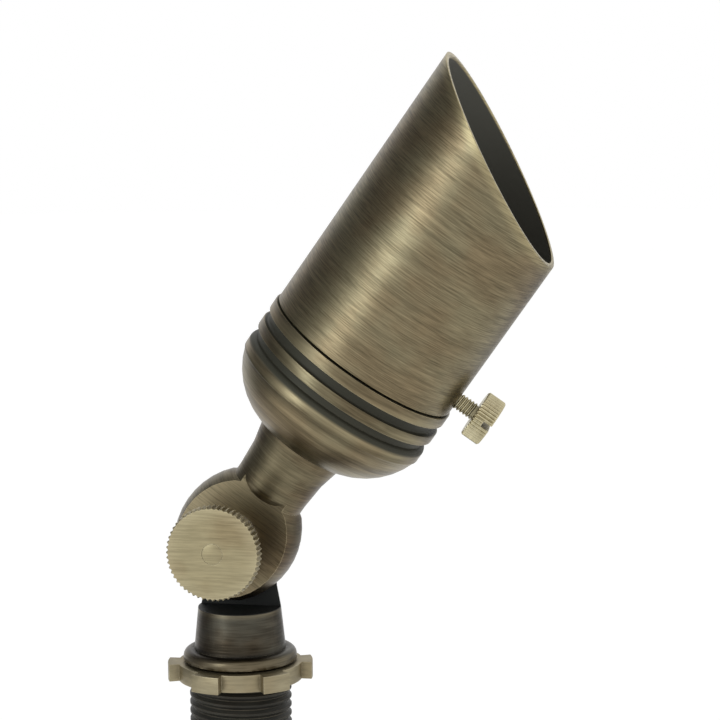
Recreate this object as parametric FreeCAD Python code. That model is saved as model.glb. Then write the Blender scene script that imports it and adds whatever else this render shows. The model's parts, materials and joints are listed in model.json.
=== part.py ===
import FreeCAD, Part
import math
import os

# Garden spike spotlight in solid brass: a tilting lamp head with an angled glare shroud,
# a two-part knuckle with a thumb screw, a threaded stem with a lug locknut, and a moulded
# ground spike. Millimetres. +Z is up. The origin is on the stem's axis at ground level.
# The knuckle's pivot axis runs along Y, with its knob on the -Y side, and the head leans
# towards +X. Head stations are distances from the pivot along the head's own axis.

# ---- pose ----
HEAD_TILT = 35.3            # degrees from upright

# ---- fits between pieces ----
RUNNING_FIT = 0.05          # radial clearance of a piece that turns in another
FACE_GAP = 0.1              # between end faces of pieces that move past each other
SLIDE_FIT = 0.07            # radial clearance of the shroud on its sleeve
LOOSE_FIT = 0.25            # radial clearance round the lamp

# ---- knuckle ----
BALL_RADIUS = 12.6          # upper half, square to the head's axis
BALL_ARC = 16.0             # radius of its turned side, flatter than a sphere
BALL_REACH = 13.6           # its furthest point from the pivot
REAR_BALL_RADIUS = 12.2     # lower half, behind the upper one
FRONT_FLAT_Y = -6.0         # milled face under the knob
REAR_FLAT_Y = 6.0
MATING_Y = 1.0              # plane where the two halves meet
MATING_GAP = 0.2
WIRE_CHAMBER_RADIUS = 7.0   # round recess in both mating faces
UPPER_CHAMBER_DEPTH = 3.9
LOWER_CHAMBER_DEPTH = 2.0
WIRE_PASSAGE_RADIUS = 1.5
UPPER_PASSAGE_Y = -2.4
LOWER_PASSAGE_Y = 3.9
SEAL_RADIUS = 8.6           # O-ring in the lower half's mating face
SEAL_SECTION_RADIUS = 0.5

# ---- neck of the upper half ----
NECK_RADIUS = 7.9
NECK_WAIST_STATION = 12.9   # the milled run-out in front starts here
NECK_FLARE_ARC = 38.0
NECK_RUN_OUT = (6.95, 11.25)        # radius and station halfway down the run-out
NECK_RUN_OUT_END = (5.4, 10.15)
NECK_REAR_LEDGE = 13.0      # the rear of the neck starts here, clear of the lower half
SPIGOT_RADIUS = 6.0
SPIGOT_LENGTH = 6.4

# ---- pivot screw and knob ----
PIVOT_SHANK_RADIUS = 3.175
PIVOT_HOLE_CLEARANCE = 0.1
PIVOT_COLLAR_RADIUS = 5.0
PIVOT_COLLAR_LENGTH = 10.7
PIVOT_RIVET_RADIUS = 2.1
PIVOT_WASHER_RADIUS = 5.6
PIVOT_WASHER_THICKNESS = 0.6
KNOB_RADIUS = 9.5
KNOB_THICKNESS = 3.0
KNOB_TEETH = 56
KNOB_TOOTH_DEPTH = 0.45
KNOB_EDGE = 0.35

# ---- stem ----
STEM_WAIST_RADIUS = 7.75
STEM_WAIST = -11.0          # below the pivot: end of the straight waist
STEM_ROOT_RADIUS = 4.0      # rounded root that runs out on the rear face
STEM_LEDGE = -15.1          # shelf in front of the lower half
STEM_LEDGE_RADIUS = 8.5
STEM_FOOT = -23.7           # bottom of the cone
STEM_FOOT_RADIUS = 9.4
COLLAR_RADIUS = 11.65
COLLAR_BOTTOM = -26.4
COLLAR_ROUND = 1.5          # rounding of its upper edge
COLLAR_EDGE = 0.45
THREAD_RADIUS = 10.478      # half-inch straight pipe thread, 14 to the inch
THREAD_PITCH = 1.814
THREAD_DEPTH = 0.62
THREAD_LENGTH = 25.4
THREAD_RELIEF = 1.2
THREAD_CREST_SHARE = 0.2    # flat part of a ridge, as a share of the pitch
STEM_BORE_RADIUS = 6.5
STEM_BORE_TOP = -20.0
GROMMET_LENGTH = 9.0
GROMMET_HOLE_RADIUS = 3.6
GROMMET_LIP = 0.8

# ---- locknut ----
NUT_RADIUS = 12.8
NUT_LUG_RADIUS = 14.9
NUT_HEIGHT = 3.55
NUT_LUGS = 6
NUT_LUG_ANGLE = 24.5
NUT_FIRST_LUG = 44.9        # degrees from the front
NUT_LUG_ROOT = 1.3          # how far a lug reaches into the ring

# ---- lamp cup ----
CUP_STEP = 0.35             # the cup stands out past the shroud
CUP_FLOOR = 23.8            # station of the underside
CUP_FLOOR_THICKNESS = 2.6
CUP_FOOT_RADIUS = 9.8
CUP_BOWL_MIDDLE = (4.15, 27.65)     # distance in from the cup's side, and station
CUP_BOWL_TOP = (0.2, 34.1)
CUP_SHOULDER = (35.9, 37.5) # rounded edge between the bowl's side and the lower groove
CUP_RIM = 45.8
CUP_BANDS = ((39.15, 41.3), (43.35, 45.8))
CUP_GROOVE_DEPTH = 1.1
CUP_GROOVE_FILLET = 0.5
CUP_WALL = 3.75
BOWL_WALL = 1.9             # measured along and across the axis, halfway up the bowl
CUP_SEAT = 39.5             # step that the socket plate rests on

# ---- neck fastening inside the cup ----
NECK_WASHER_RADIUS = 9.0
NECK_WASHER_THICKNESS = 0.8
NECK_NUT_FLATS = 16.0
NECK_NUT_HEIGHT = 2.6

# ---- lamp holder ----
PLATE_THICKNESS = 0.8
PLATE_WINDOW = (5.0, 2.4)   # half sizes of the opening for the lamp's pins
SOCKET_SIZE = (19.2, 9.6, 8.5)
SOCKET_HOLE_DEPTH = 6.4
SOCKET_SCREW_SPACING = 15.0
SOCKET_SCREW_RADIUS = 1.25
SOCKET_SCREW_LENGTH = 6.0
SOCKET_SCREW_HEAD_RADIUS = 2.1
SOCKET_SCREW_HEAD_HEIGHT = 1.3
SOCKET_SCREW_SLOT = 0.6
SOCKET_CORNER = 1.2         # rounding of the socket's upright edges
CONTACT_WALL = 0.25
CONTACT_PLAY = 0.04
CONTACT_SPLIT = 2.0         # height of the unsplit root
LEAD_RADIUS = 0.7
LEAD_STATION = 36.6
LEAD_REACH = 12.2
LEAD_BEND = 2.0
LEAD_DROP = 3.2
SPLICE_RADIUS = 1.3
SPLICE_LENGTH = 4.0
SPLICE_HOLE_DEPTH = 2.2

# ---- lamp, 35 mm reflector with two pins ----
LAMP_RADIUS = 17.65
LAMP_RIM_HEIGHT = 2.4
LAMP_LENGTH = 28.0          # from the foot's underside to the front
LAMP_FOOT_SIZE = (10.0, 8.6, 8.2)
LAMP_FOOT_CORNER = 1.0
LAMP_NECK_RADIUS = 6.6
LAMP_SHELL = 1.1
LAMP_RIM_STEP = 0.9         # how far the bowl's edge is in from the rim
LAMP_BOWL_BULGE = (0.82, 0.47)      # shares of the bowl's radius and height at its middle
LAMP_GLASS_INSET = 0.2
LAMP_COLLAR_GAP = 0.4       # round the burner in the reflector's neck
LAMP_PIN_RADIUS = 0.36
LAMP_PIN_SPACING = 4.0
LAMP_PIN_LENGTH = 5.6
LAMP_GLASS_THICKNESS = 1.2
CAPSULE_RADIUS = 3.0
CAPSULE_LENGTH = 11.0

# ---- inner sleeve and lens ----
SLEEVE_WALL = 1.6
SLEEVE_SPIGOT_WALL = 1.0    # lower end, inside the cup
SLEEVE_END = 76.8
SLEEVE_SEAT = 70.5          # step that carries the lens gasket
SLEEVE_LIP_WALL = 0.85
LENS_THICKNESS = 3.0
LENS_CLEARANCE = 0.1
GASKET_THICKNESS = 0.8
LENS_RING_HEIGHT = 2.2
LENS_RING_WALL = 1.7
LENS_RING_NOTCH = 1.6
O_RING_STATION = 65.2
O_RING_SECTION_RADIUS = 0.42
O_RING_GROOVE_WIDTH = 1.2

# ---- shroud ----
SHROUD_WALL = 1.03
SHROUD_START = 46.0
SHROUD_CUT_STATION = 93.8   # where the slanted mouth crosses the axis
SHROUD_CUT_SLOPE = 28.8     # degrees
SHROUD_CUT_TURN = 2.6       # degrees about the axis
SHROUD_EDGE = 0.25

# ---- thumb screw in the shroud ----
THUMB_STATION = 49.25
THUMB_TURN = 5.5            # degrees about the head's axis, towards +Y
THUMB_SHANK_RADIUS = 1.75
THUMB_PITCH = 0.74
THUMB_THREAD_DEPTH = 0.32
THUMB_SHOWN = 4.2           # bare thread between the shroud and the screw's head
THUMB_HEAD_THICKNESS = 4.1
THUMB_HEAD_RADIUS = 5.05
THUMB_TEETH = 42
THUMB_TOOTH_DEPTH = 0.3
THUMB_EDGE = 0.3
THUMB_SLOT_WIDTH = 1.2
THUMB_SLOT_DEPTH = 1.9

# ---- ground spike ----
STEM_SHOWN = 17.2           # from the collar down to the hub
HUB_HEIGHT = 22.4
HUB_RADIUS = 15.5
HUB_FOOT_RADIUS = 16.5
HUB_EDGE = 1.2
HUB_THREAD_DEPTH = 9.8
FLANGE_RADIUS = 22.0
FLANGE_THICKNESS = 3.0
CHAMBER_RADIUS = 9.0
CHAMBER_DEPTH = 12.0        # below ground
CORE_RADIUS = 12.5
CORE_DEPTH = 17.0
CORE_TIP_RADIUS = 3.2
CORE_TIP_DEPTH = 48.0
FIN_HALF_WIDTH = 17.0
FIN_THICKNESS = 3.2
FIN_TIP_HALF_WIDTH = 3.4
FIN_TAPER_DEPTH = 152.0
SPIKE_DEPTH = 168.0
CABLE_SLOT_WIDTH = 9.0
CABLE_SLOT_TOP = 10.0
CABLE_SLOT_BOTTOM = -9.0

# ---- worked out from the above ----
PIVOT_HEIGHT = HUB_HEIGHT + STEM_SHOWN - COLLAR_BOTTOM
CONTACT_RADIUS = LAMP_PIN_RADIUS + CONTACT_PLAY
UPPER_FACE_Y = MATING_Y - MATING_GAP / 2
LOWER_FACE_Y = MATING_Y + MATING_GAP / 2
SLEEVE_BORE_RADIUS = LAMP_RADIUS + LOOSE_FIT
SLEEVE_RADIUS = SLEEVE_BORE_RADIUS + SLEEVE_WALL
SLEEVE_SPIGOT_RADIUS = SLEEVE_BORE_RADIUS + SLEEVE_SPIGOT_WALL
SHROUD_BORE_RADIUS = SLEEVE_RADIUS + SLIDE_FIT
SHROUD_RADIUS = SHROUD_BORE_RADIUS + SHROUD_WALL
CUP_RADIUS = SHROUD_RADIUS + CUP_STEP
CUP_SLEEVE_RADIUS = SLEEVE_SPIGOT_RADIUS + RUNNING_FIT
CUP_INSIDE_FLOOR = CUP_FLOOR + CUP_FLOOR_THICKNESS
CUP_INSIDE_RADIUS = CUP_RADIUS - CUP_WALL
THUMB_HEAD_START = SHROUD_RADIUS + THUMB_SHOWN
PLATE_TOP = CUP_SEAT + PLATE_THICKNESS
LAMP_FOOT = PLATE_TOP + FACE_GAP
LAMP_FRONT = LAMP_FOOT + LAMP_LENGTH
LAMP_GLASS_SEAT = LAMP_FRONT - LAMP_GLASS_THICKNESS - LAMP_GLASS_INSET
SLEEVE_LIP_RADIUS = SLEEVE_RADIUS - SLEEVE_LIP_WALL
LENS_STATION = SLEEVE_SEAT + GASKET_THICKNESS
KNOB_BACK_Y = FRONT_FLAT_Y - PIVOT_WASHER_THICKNESS - FACE_GAP - PIVOT_COLLAR_LENGTH
BIG = 400.0                 # larger than the whole light, for cutting tools

UP = FreeCAD.Vector(0, 0, 1)
ALONG_Y = FreeCAD.Vector(0, 1, 0)
ALONG_X = FreeCAD.Vector(1, 0, 0)
CENTRE = FreeCAD.Vector(0, 0, 0)


# ---- helpers ----

def turned(start, *steps):
    """A solid turned about Z. Points are (radius, height). A step is the end of a line, or
    a pair: a point that an arc passes through and the arc's end."""
    edges = []
    here = start
    for step in steps + (start,):
        is_arc = isinstance(step[0], tuple)
        end = step[1] if is_arc else step
        a = FreeCAD.Vector(here[0], 0, here[1])
        b = FreeCAD.Vector(end[0], 0, end[1])
        if is_arc:
            middle = FreeCAD.Vector(step[0][0], 0, step[0][1])
            edges.append(Part.Arc(a, middle, b).toShape())
        elif (a - b).Length > 1e-6:
            edges.append(Part.LineSegment(a, b).toShape())
        here = end
    return Part.Face(Part.Wire(edges)).revolve(CENTRE, UP, 360)


def ring(outer, inner, low, high):
    return turned((inner, low), (outer, low), (outer, high), (inner, high))


def rod(radius, low, high, x=0.0, y=0.0):
    return Part.makeCylinder(radius, high - low, FreeCAD.Vector(x, y, low), UP)


def rod_y(radius, near, far):
    """A round bar along Y through the pivot."""
    return Part.makeCylinder(radius, far - near, FreeCAD.Vector(0, near, 0), ALONG_Y)


def block(x_low, x_high, y_low, y_high, z_low, z_high):
    corner = FreeCAD.Vector(x_low, y_low, z_low)
    return Part.makeBox(x_high - x_low, y_high - y_low, z_high - z_low, corner)


def upright_edges(body):
    return [edge for edge in body.Edges if abs(edge.tangentAt(0).z) > 0.9]


def pair(make):
    """Two separate solids, one on each side of the head's axis."""
    return Part.makeCompound([make(-1), make(1)])


def arc_step(start, end, radius):
    """An outline step: the arc of this radius from start to end that bulges to the left."""
    half = math.dist(start, end) / 2
    rise = radius - math.sqrt(radius * radius - half * half)
    across = (-(end[1] - start[1]) / (2 * half), (end[0] - start[0]) / (2 * half))
    middle = tuple((start[i] + end[i]) / 2 + across[i] * rise for i in (0, 1))
    return (middle, end)


def quarter_step(start, end, centre):
    """An outline step: the quarter arc from start to end round this centre."""
    middle = tuple(centre[i] + (start[i] + end[i] - 2 * centre[i]) * math.sqrt(0.5)
                   for i in (0, 1))
    return (middle, end)


def thread_steps(crest, depth, pitch, high, low):
    """Outline of ridges from high down to low, on the outside of a turned piece."""
    count = int((high - low) / pitch)
    slope = (1 - THREAD_CREST_SHARE) / 2 * pitch
    steps = []
    for index in range(count):
        top = high - index * pitch
        steps += [(crest - depth, top), (crest, top - slope), (crest, top - pitch + slope)]
    steps.append((crest - depth, high - count * pitch))
    return steps


def knurled(radius, depth, teeth, low, high, edge):
    """A disc with straight ridges round its edge and both rims broken."""
    points = []
    for index in range(2 * teeth + 1):
        angle = math.pi * index / teeth
        reach = radius - (depth if index % 2 else 0.0)
        points.append(FreeCAD.Vector(reach * math.cos(angle), reach * math.sin(angle), low))
    prism = Part.Face(Part.makePolygon(points)).extrude(FreeCAD.Vector(0, 0, high - low))
    envelope = turned((0, low), (radius - edge, low), (radius, low + edge),
                      (radius, high - edge), (radius - edge, high), (0, high))
    return prism.common(envelope)


def facing_front(shape):
    """Turns a piece built on +Z so that it points to -Y, about the pivot."""
    return shape.rotate(CENTRE, ALONG_X, 90)


def on_head(shape):
    """Moves a piece from the head's own axis to its place on the light."""
    shape.rotate(CENTRE, ALONG_Y, HEAD_TILT)
    shape.translate(FreeCAD.Vector(0, 0, PIVOT_HEIGHT))
    return shape


def on_stem(shape):
    """Moves a piece that is measured from the pivot to its place on the light."""
    shape.translate(FreeCAD.Vector(0, 0, PIVOT_HEIGHT))
    return shape


# ---- knuckle ----

def barrel_ball():
    """The upper half's ball: a flattened arc at the side, and a sphere at both ends."""
    inset = BALL_ARC - BALL_RADIUS
    across = (BALL_ARC ** 2 + inset ** 2 - BALL_REACH ** 2) / (2 * inset)
    station = math.sqrt(BALL_ARC ** 2 - across ** 2)
    radius = across - inset
    cap = BALL_REACH * math.sin(math.atan2(station, radius) / 2 + math.pi / 4)
    cap_radius = math.sqrt(BALL_REACH ** 2 - cap ** 2)
    return turned((0, -BALL_REACH), ((cap_radius, -cap), (radius, -station)),
                  ((BALL_RADIUS, 0), (radius, station)), ((cap_radius, cap), (0, BALL_REACH)))


def behind_front_flat():
    return block(-BIG, BIG, FRONT_FLAT_Y, BIG, -BIG, BIG)


def neck_blank():
    """The neck and its spigot. In front, its foot is milled away to a rounded run-out."""
    top_radius = NECK_RADIUS + NECK_FLARE_ARC - math.sqrt(
        NECK_FLARE_ARC ** 2 - (CUP_FLOOR - NECK_WAIST_STATION) ** 2)
    waist = (NECK_RADIUS, NECK_WAIST_STATION)
    top = (top_radius, CUP_FLOOR)
    spigot_top = CUP_FLOOR + SPIGOT_LENGTH
    neck = turned((0, NECK_RUN_OUT_END[1]), NECK_RUN_OUT_END, (NECK_RUN_OUT, waist),
                  arc_step(waist, top, NECK_FLARE_ARC),
                  (SPIGOT_RADIUS, CUP_FLOOR), (SPIGOT_RADIUS, spigot_top), (0, spigot_top))
    return neck.fuse(rod(NECK_RADIUS, 0, NECK_WAIST_STATION).common(behind_front_flat()))


def upper_knuckle():
    ball = barrel_ball().common(behind_front_flat())
    body = ball.fuse(neck_blank())
    behind = block(-BIG, BIG, UPPER_FACE_Y, BIG, -BIG, NECK_REAR_LEDGE)
    chamber = rod_y(WIRE_CHAMBER_RADIUS, UPPER_FACE_Y - UPPER_CHAMBER_DEPTH, UPPER_FACE_Y)
    hole = rod_y(PIVOT_SHANK_RADIUS + PIVOT_HOLE_CLEARANCE, -BALL_RADIUS, BALL_RADIUS)
    passage = rod(WIRE_PASSAGE_RADIUS, WIRE_CHAMBER_RADIUS / 2, BIG, y=UPPER_PASSAGE_Y)
    return on_head(body.cut(behind).cut(chamber).cut(hole).cut(passage).removeSplitter())


def collar_steps():
    """Outline of the stem's rounded collar, from the cone's foot to the thread."""
    shelf = (COLLAR_RADIUS - COLLAR_ROUND, STEM_FOOT)
    side_top = (COLLAR_RADIUS, STEM_FOOT - COLLAR_ROUND)
    side = (COLLAR_RADIUS, COLLAR_BOTTOM + COLLAR_EDGE)
    edge = (COLLAR_RADIUS - COLLAR_EDGE, COLLAR_BOTTOM)
    return [shelf, quarter_step(shelf, side_top, (shelf[0], side_top[1])), side,
            quarter_step(side, edge, (edge[0], side[1]))]


def lower_knuckle():
    bottom = COLLAR_BOTTOM - THREAD_LENGTH
    root = THREAD_RADIUS - THREAD_DEPTH
    relief_end = COLLAR_BOTTOM - THREAD_RELIEF
    outline = [(STEM_LEDGE_RADIUS, STEM_LEDGE), (STEM_FOOT_RADIUS, STEM_FOOT)]
    outline += collar_steps()
    outline += [(root, COLLAR_BOTTOM), (root, relief_end)]
    outline += thread_steps(THREAD_RADIUS, THREAD_DEPTH, THREAD_PITCH, relief_end, bottom)
    outline += [(root, bottom), (STEM_BORE_RADIUS, bottom), (STEM_BORE_RADIUS, STEM_BORE_TOP),
                (0, STEM_BORE_TOP)]
    waist = (STEM_WAIST_RADIUS, STEM_WAIST)
    root = (STEM_ROOT_RADIUS, STEM_WAIST + STEM_WAIST_RADIUS - STEM_ROOT_RADIUS)
    stem = turned((0, root[1]), root, quarter_step(root, waist, (root[0], waist[1])), *outline)
    ball = Part.makeSphere(REAR_BALL_RADIUS)
    ball = ball.common(block(-BIG, BIG, -BIG, REAR_FLAT_Y, -BIG, BIG))
    front = block(-BIG, BIG, -BIG, LOWER_FACE_Y, STEM_LEDGE, BIG)
    chamber = rod_y(WIRE_CHAMBER_RADIUS, LOWER_FACE_Y, LOWER_FACE_Y + LOWER_CHAMBER_DEPTH)
    hole = rod_y(PIVOT_SHANK_RADIUS + RUNNING_FIT, -BALL_RADIUS, BALL_RADIUS)
    passage = rod(WIRE_PASSAGE_RADIUS, STEM_BORE_TOP - 1, -WIRE_CHAMBER_RADIUS / 2,
                  y=LOWER_PASSAGE_Y)
    body = ball.fuse(stem).cut(front).cut(chamber).cut(seal_groove())
    return on_stem(body.cut(hole).cut(passage).removeSplitter())


def seal_centre_y():
    """The O-ring stands out of its groove, just short of the upper half's face."""
    return UPPER_FACE_Y + RUNNING_FIT + SEAL_SECTION_RADIUS


def seal_groove():
    half = SEAL_SECTION_RADIUS + RUNNING_FIT
    floor = seal_centre_y() + SEAL_SECTION_RADIUS
    return rod_y(SEAL_RADIUS + half, LOWER_FACE_Y, floor).cut(
        rod_y(SEAL_RADIUS - half, LOWER_FACE_Y, floor))


def knuckle_seal():
    """Rubber O-ring that keeps water out of the wire chamber."""
    return on_stem(Part.makeTorus(SEAL_RADIUS, SEAL_SECTION_RADIUS,
                                  FreeCAD.Vector(0, seal_centre_y(), 0), ALONG_Y))


def pivot_screw():
    """Shank, collar and rivet end, turned in one piece."""
    collar_front = -KNOB_BACK_Y
    collar_back = collar_front - PIVOT_COLLAR_LENGTH
    screw = turned((0, -REAR_FLAT_Y), (PIVOT_SHANK_RADIUS, -REAR_FLAT_Y),
                   (PIVOT_SHANK_RADIUS, collar_back), (PIVOT_COLLAR_RADIUS, collar_back),
                   (PIVOT_COLLAR_RADIUS, collar_front), (PIVOT_RIVET_RADIUS, collar_front),
                   (PIVOT_RIVET_RADIUS, collar_front + KNOB_THICKNESS),
                   (0, collar_front + KNOB_THICKNESS))
    return on_stem(facing_front(screw))


def pivot_knob():
    back = -KNOB_BACK_Y
    disc = knurled(KNOB_RADIUS, KNOB_TOOTH_DEPTH, KNOB_TEETH, back, back + KNOB_THICKNESS,
                   KNOB_EDGE)
    disc = disc.cut(rod(PIVOT_RIVET_RADIUS, 0, BIG))
    return on_stem(facing_front(disc))


def pivot_washer():
    washer = ring(PIVOT_WASHER_RADIUS, PIVOT_SHANK_RADIUS + PIVOT_HOLE_CLEARANCE,
                  -FRONT_FLAT_Y, -FRONT_FLAT_Y + PIVOT_WASHER_THICKNESS)
    return on_stem(facing_front(washer))


# ---- stem fittings ----

def cable_grommet():
    """Rubber plug with the supply cable's hole, in the stem's open end."""
    bottom = COLLAR_BOTTOM - THREAD_LENGTH
    lip_radius = STEM_BORE_RADIUS + GROMMET_LIP
    return on_stem(turned((GROMMET_HOLE_RADIUS, bottom - GROMMET_LIP),
                          (lip_radius, bottom - GROMMET_LIP), (lip_radius, bottom),
                          (STEM_BORE_RADIUS, bottom), (STEM_BORE_RADIUS, bottom + GROMMET_LENGTH),
                          (GROMMET_HOLE_RADIUS, bottom + GROMMET_LENGTH)))


def locknut():
    top = COLLAR_BOTTOM - FACE_GAP
    bottom = top - NUT_HEIGHT
    half = math.radians(NUT_LUG_ANGLE) / 2
    root = NUT_RADIUS - NUT_LUG_ROOT
    nut = rod(NUT_RADIUS, bottom, top)
    for index in range(NUT_LUGS):
        middle = math.radians(NUT_FIRST_LUG + index * 360 / NUT_LUGS - 90)
        corners = []
        for angle, reach in ((middle - half, root), (middle - half, NUT_LUG_RADIUS),
                             (middle + half, NUT_LUG_RADIUS), (middle + half, root)):
            corners.append(FreeCAD.Vector(reach * math.cos(angle), reach * math.sin(angle), bottom))
        crown = FreeCAD.Vector(NUT_LUG_RADIUS * math.cos(middle), NUT_LUG_RADIUS * math.sin(middle),
                               bottom)
        edges = [Part.LineSegment(corners[0], corners[1]).toShape(),
                 Part.Arc(corners[1], crown, corners[2]).toShape(),
                 Part.LineSegment(corners[2], corners[3]).toShape(),
                 Part.LineSegment(corners[3], corners[0]).toShape()]
        lug = Part.Face(Part.Wire(edges)).extrude(FreeCAD.Vector(0, 0, NUT_HEIGHT))
        nut = nut.fuse(lug)
    nut = nut.cut(rod(THREAD_RADIUS + RUNNING_FIT, bottom - 1, top + 1))
    return on_stem(nut.removeSplitter())


# ---- lamp cup and what it holds ----

def lamp_cup():
    """Turned cup: bowl, two flat bands with a rolled groove under each, and its bore."""
    (low_band, low_band_top), (high_band, rim) = CUP_BANDS
    root = CUP_RADIUS - CUP_GROOVE_DEPTH
    side_end, shoulder_end = ((CUP_RADIUS, CUP_SHOULDER[0]), (root, CUP_SHOULDER[1]))
    fillet_start = (root + CUP_GROOVE_FILLET, low_band_top)
    fillet_end = (root, low_band_top + CUP_GROOVE_FILLET)
    bowl_middle, bowl_top = [(CUP_RADIUS - inset, station)
                             for inset, station in (CUP_BOWL_MIDDLE, CUP_BOWL_TOP)]
    outside = [(CUP_FOOT_RADIUS, CUP_FLOOR), (bowl_middle, bowl_top),
               (CUP_RADIUS, bowl_top[1] + CUP_RADIUS - bowl_top[0]),
               side_end, quarter_step(side_end, shoulder_end, (root, side_end[1])),
               (root, low_band), (CUP_RADIUS, low_band), (CUP_RADIUS, low_band_top),
               fillet_start,
               quarter_step(fillet_start, fillet_end, (fillet_start[0], fillet_end[1])),
               (root, high_band), (CUP_RADIUS, high_band), (CUP_RADIUS, rim)]
    inside = [(CUP_SLEEVE_RADIUS, rim), (CUP_SLEEVE_RADIUS, CUP_SEAT),
              (CUP_INSIDE_RADIUS, CUP_SEAT), (CUP_INSIDE_RADIUS, bowl_top[1]),
              ((bowl_middle[0] - BOWL_WALL, bowl_middle[1] + BOWL_WALL),
               (CUP_FOOT_RADIUS, CUP_INSIDE_FLOOR)),
              (SPIGOT_RADIUS, CUP_INSIDE_FLOOR)]
    return on_head(turned((SPIGOT_RADIUS, CUP_FLOOR), *outside, *inside))


def neck_washer():
    return on_head(ring(NECK_WASHER_RADIUS, SPIGOT_RADIUS, CUP_INSIDE_FLOOR,
                        CUP_INSIDE_FLOOR + NECK_WASHER_THICKNESS))


def neck_nut():
    low = CUP_INSIDE_FLOOR + NECK_WASHER_THICKNESS
    corner = NECK_NUT_FLATS / math.sqrt(3)
    points = [FreeCAD.Vector(corner * math.cos(math.radians(60 * index)),
                             corner * math.sin(math.radians(60 * index)), low)
              for index in range(7)]
    nut = Part.Face(Part.makePolygon(points)).extrude(FreeCAD.Vector(0, 0, NECK_NUT_HEIGHT))
    return on_head(nut.cut(rod(SPIGOT_RADIUS, low - 1, low + NECK_NUT_HEIGHT + 1)))


def socket_plate():
    """Round spring-steel plate on the cup's step. The lamp socket hangs under it."""
    plate = rod(SLEEVE_SPIGOT_RADIUS, CUP_SEAT, PLATE_TOP)
    plate = plate.cut(block(-PLATE_WINDOW[0], PLATE_WINDOW[0], -PLATE_WINDOW[1],
                            PLATE_WINDOW[1], CUP_SEAT - 1, PLATE_TOP + 1))
    for side in (-1, 1):
        plate = plate.cut(rod(SOCKET_SCREW_RADIUS, CUP_SEAT - 1, PLATE_TOP + 1,
                              x=side * SOCKET_SCREW_SPACING / 2))
    return on_head(plate)


def socket_screw(side):
    x = side * SOCKET_SCREW_SPACING / 2
    shank = rod(SOCKET_SCREW_RADIUS, PLATE_TOP - SOCKET_SCREW_LENGTH, PLATE_TOP, x=x)
    head = rod(SOCKET_SCREW_HEAD_RADIUS, PLATE_TOP, PLATE_TOP + SOCKET_SCREW_HEAD_HEIGHT, x=x)
    slot = block(x - BIG, x + BIG, -SOCKET_SCREW_SLOT / 2, SOCKET_SCREW_SLOT / 2,
                 PLATE_TOP + SOCKET_SCREW_HEAD_HEIGHT / 2, BIG)
    return on_head(shank.fuse(head).cut(slot).removeSplitter())


def lamp_socket():
    """Ceramic block with two pin holes, two screw holes and a lead hole in each end."""
    length, width, height = SOCKET_SIZE
    low = CUP_SEAT - height
    body = block(-length / 2, length / 2, -width / 2, width / 2, low, CUP_SEAT)
    body = body.makeFillet(SOCKET_CORNER, upright_edges(body))
    for side in (-1, 1):
        body = body.cut(rod(CONTACT_RADIUS + CONTACT_WALL, CUP_SEAT - SOCKET_HOLE_DEPTH,
                            CUP_SEAT + 1, x=side * LAMP_PIN_SPACING / 2))
        body = body.cut(rod(SOCKET_SCREW_RADIUS, PLATE_TOP - SOCKET_SCREW_LENGTH, CUP_SEAT + 1,
                            x=side * SOCKET_SCREW_SPACING / 2))
    return on_head(body)


def socket_contact(side):
    """Thin split tube that grips a lamp pin."""
    x = side * LAMP_PIN_SPACING / 2
    low = CUP_SEAT - SOCKET_HOLE_DEPTH
    outer = rod(CONTACT_RADIUS + CONTACT_WALL, low, CUP_SEAT, x=x)
    tube = outer.cut(rod(CONTACT_RADIUS, low + CONTACT_WALL, BIG, x=x))
    slot = block(x - CONTACT_WALL / 2, x + CONTACT_WALL / 2, -BIG, BIG, low + CONTACT_SPLIT,
                 BIG)
    return on_head(tube.cut(slot))


def socket_lead(side):
    """Lead from the socket's end outwards, round a bend and down into the bowl."""
    start = SOCKET_SIZE[0] / 2
    bend_start = FreeCAD.Vector(LEAD_REACH - LEAD_BEND, 0, LEAD_STATION)
    run = Part.makeCylinder(LEAD_RADIUS, bend_start.x - start,
                            FreeCAD.Vector(start, 0, LEAD_STATION), ALONG_X)
    section = Part.Face(Part.Wire(Part.makeCircle(LEAD_RADIUS, bend_start, ALONG_X)))
    bend_centre = bend_start - UP * LEAD_BEND
    bend = section.revolve(bend_centre, ALONG_Y, 90)
    drop = rod(LEAD_RADIUS, LEAD_STATION - LEAD_DROP, LEAD_STATION - LEAD_BEND, x=LEAD_REACH)
    lead = run.fuse(bend).fuse(drop).removeSplitter()
    if side < 0:
        lead.rotate(CENTRE, UP, 180)
    return on_head(lead)


def crimp_splice(side):
    """Barrel at the end of a lead, open below for the supply cable's wire."""
    high = LEAD_STATION - LEAD_DROP
    low = high - SPLICE_LENGTH
    x = side * LEAD_REACH
    barrel = rod(SPLICE_RADIUS, low, high, x=x)
    return on_head(barrel.cut(rod(LEAD_RADIUS, low - 1, low + SPLICE_HOLE_DEPTH, x=x)))


# ---- lamp ----

def lamp_foot():
    length, width, height = LAMP_FOOT_SIZE
    body = block(-length / 2, length / 2, -width / 2, width / 2, LAMP_FOOT, LAMP_FOOT + height)
    return on_head(body.makeFillet(LAMP_FOOT_CORNER, upright_edges(body)))


def lamp_pin(side):
    return on_head(rod(LAMP_PIN_RADIUS, LAMP_FOOT - LAMP_PIN_LENGTH, LAMP_FOOT,
                       x=side * LAMP_PIN_SPACING / 2))


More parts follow.
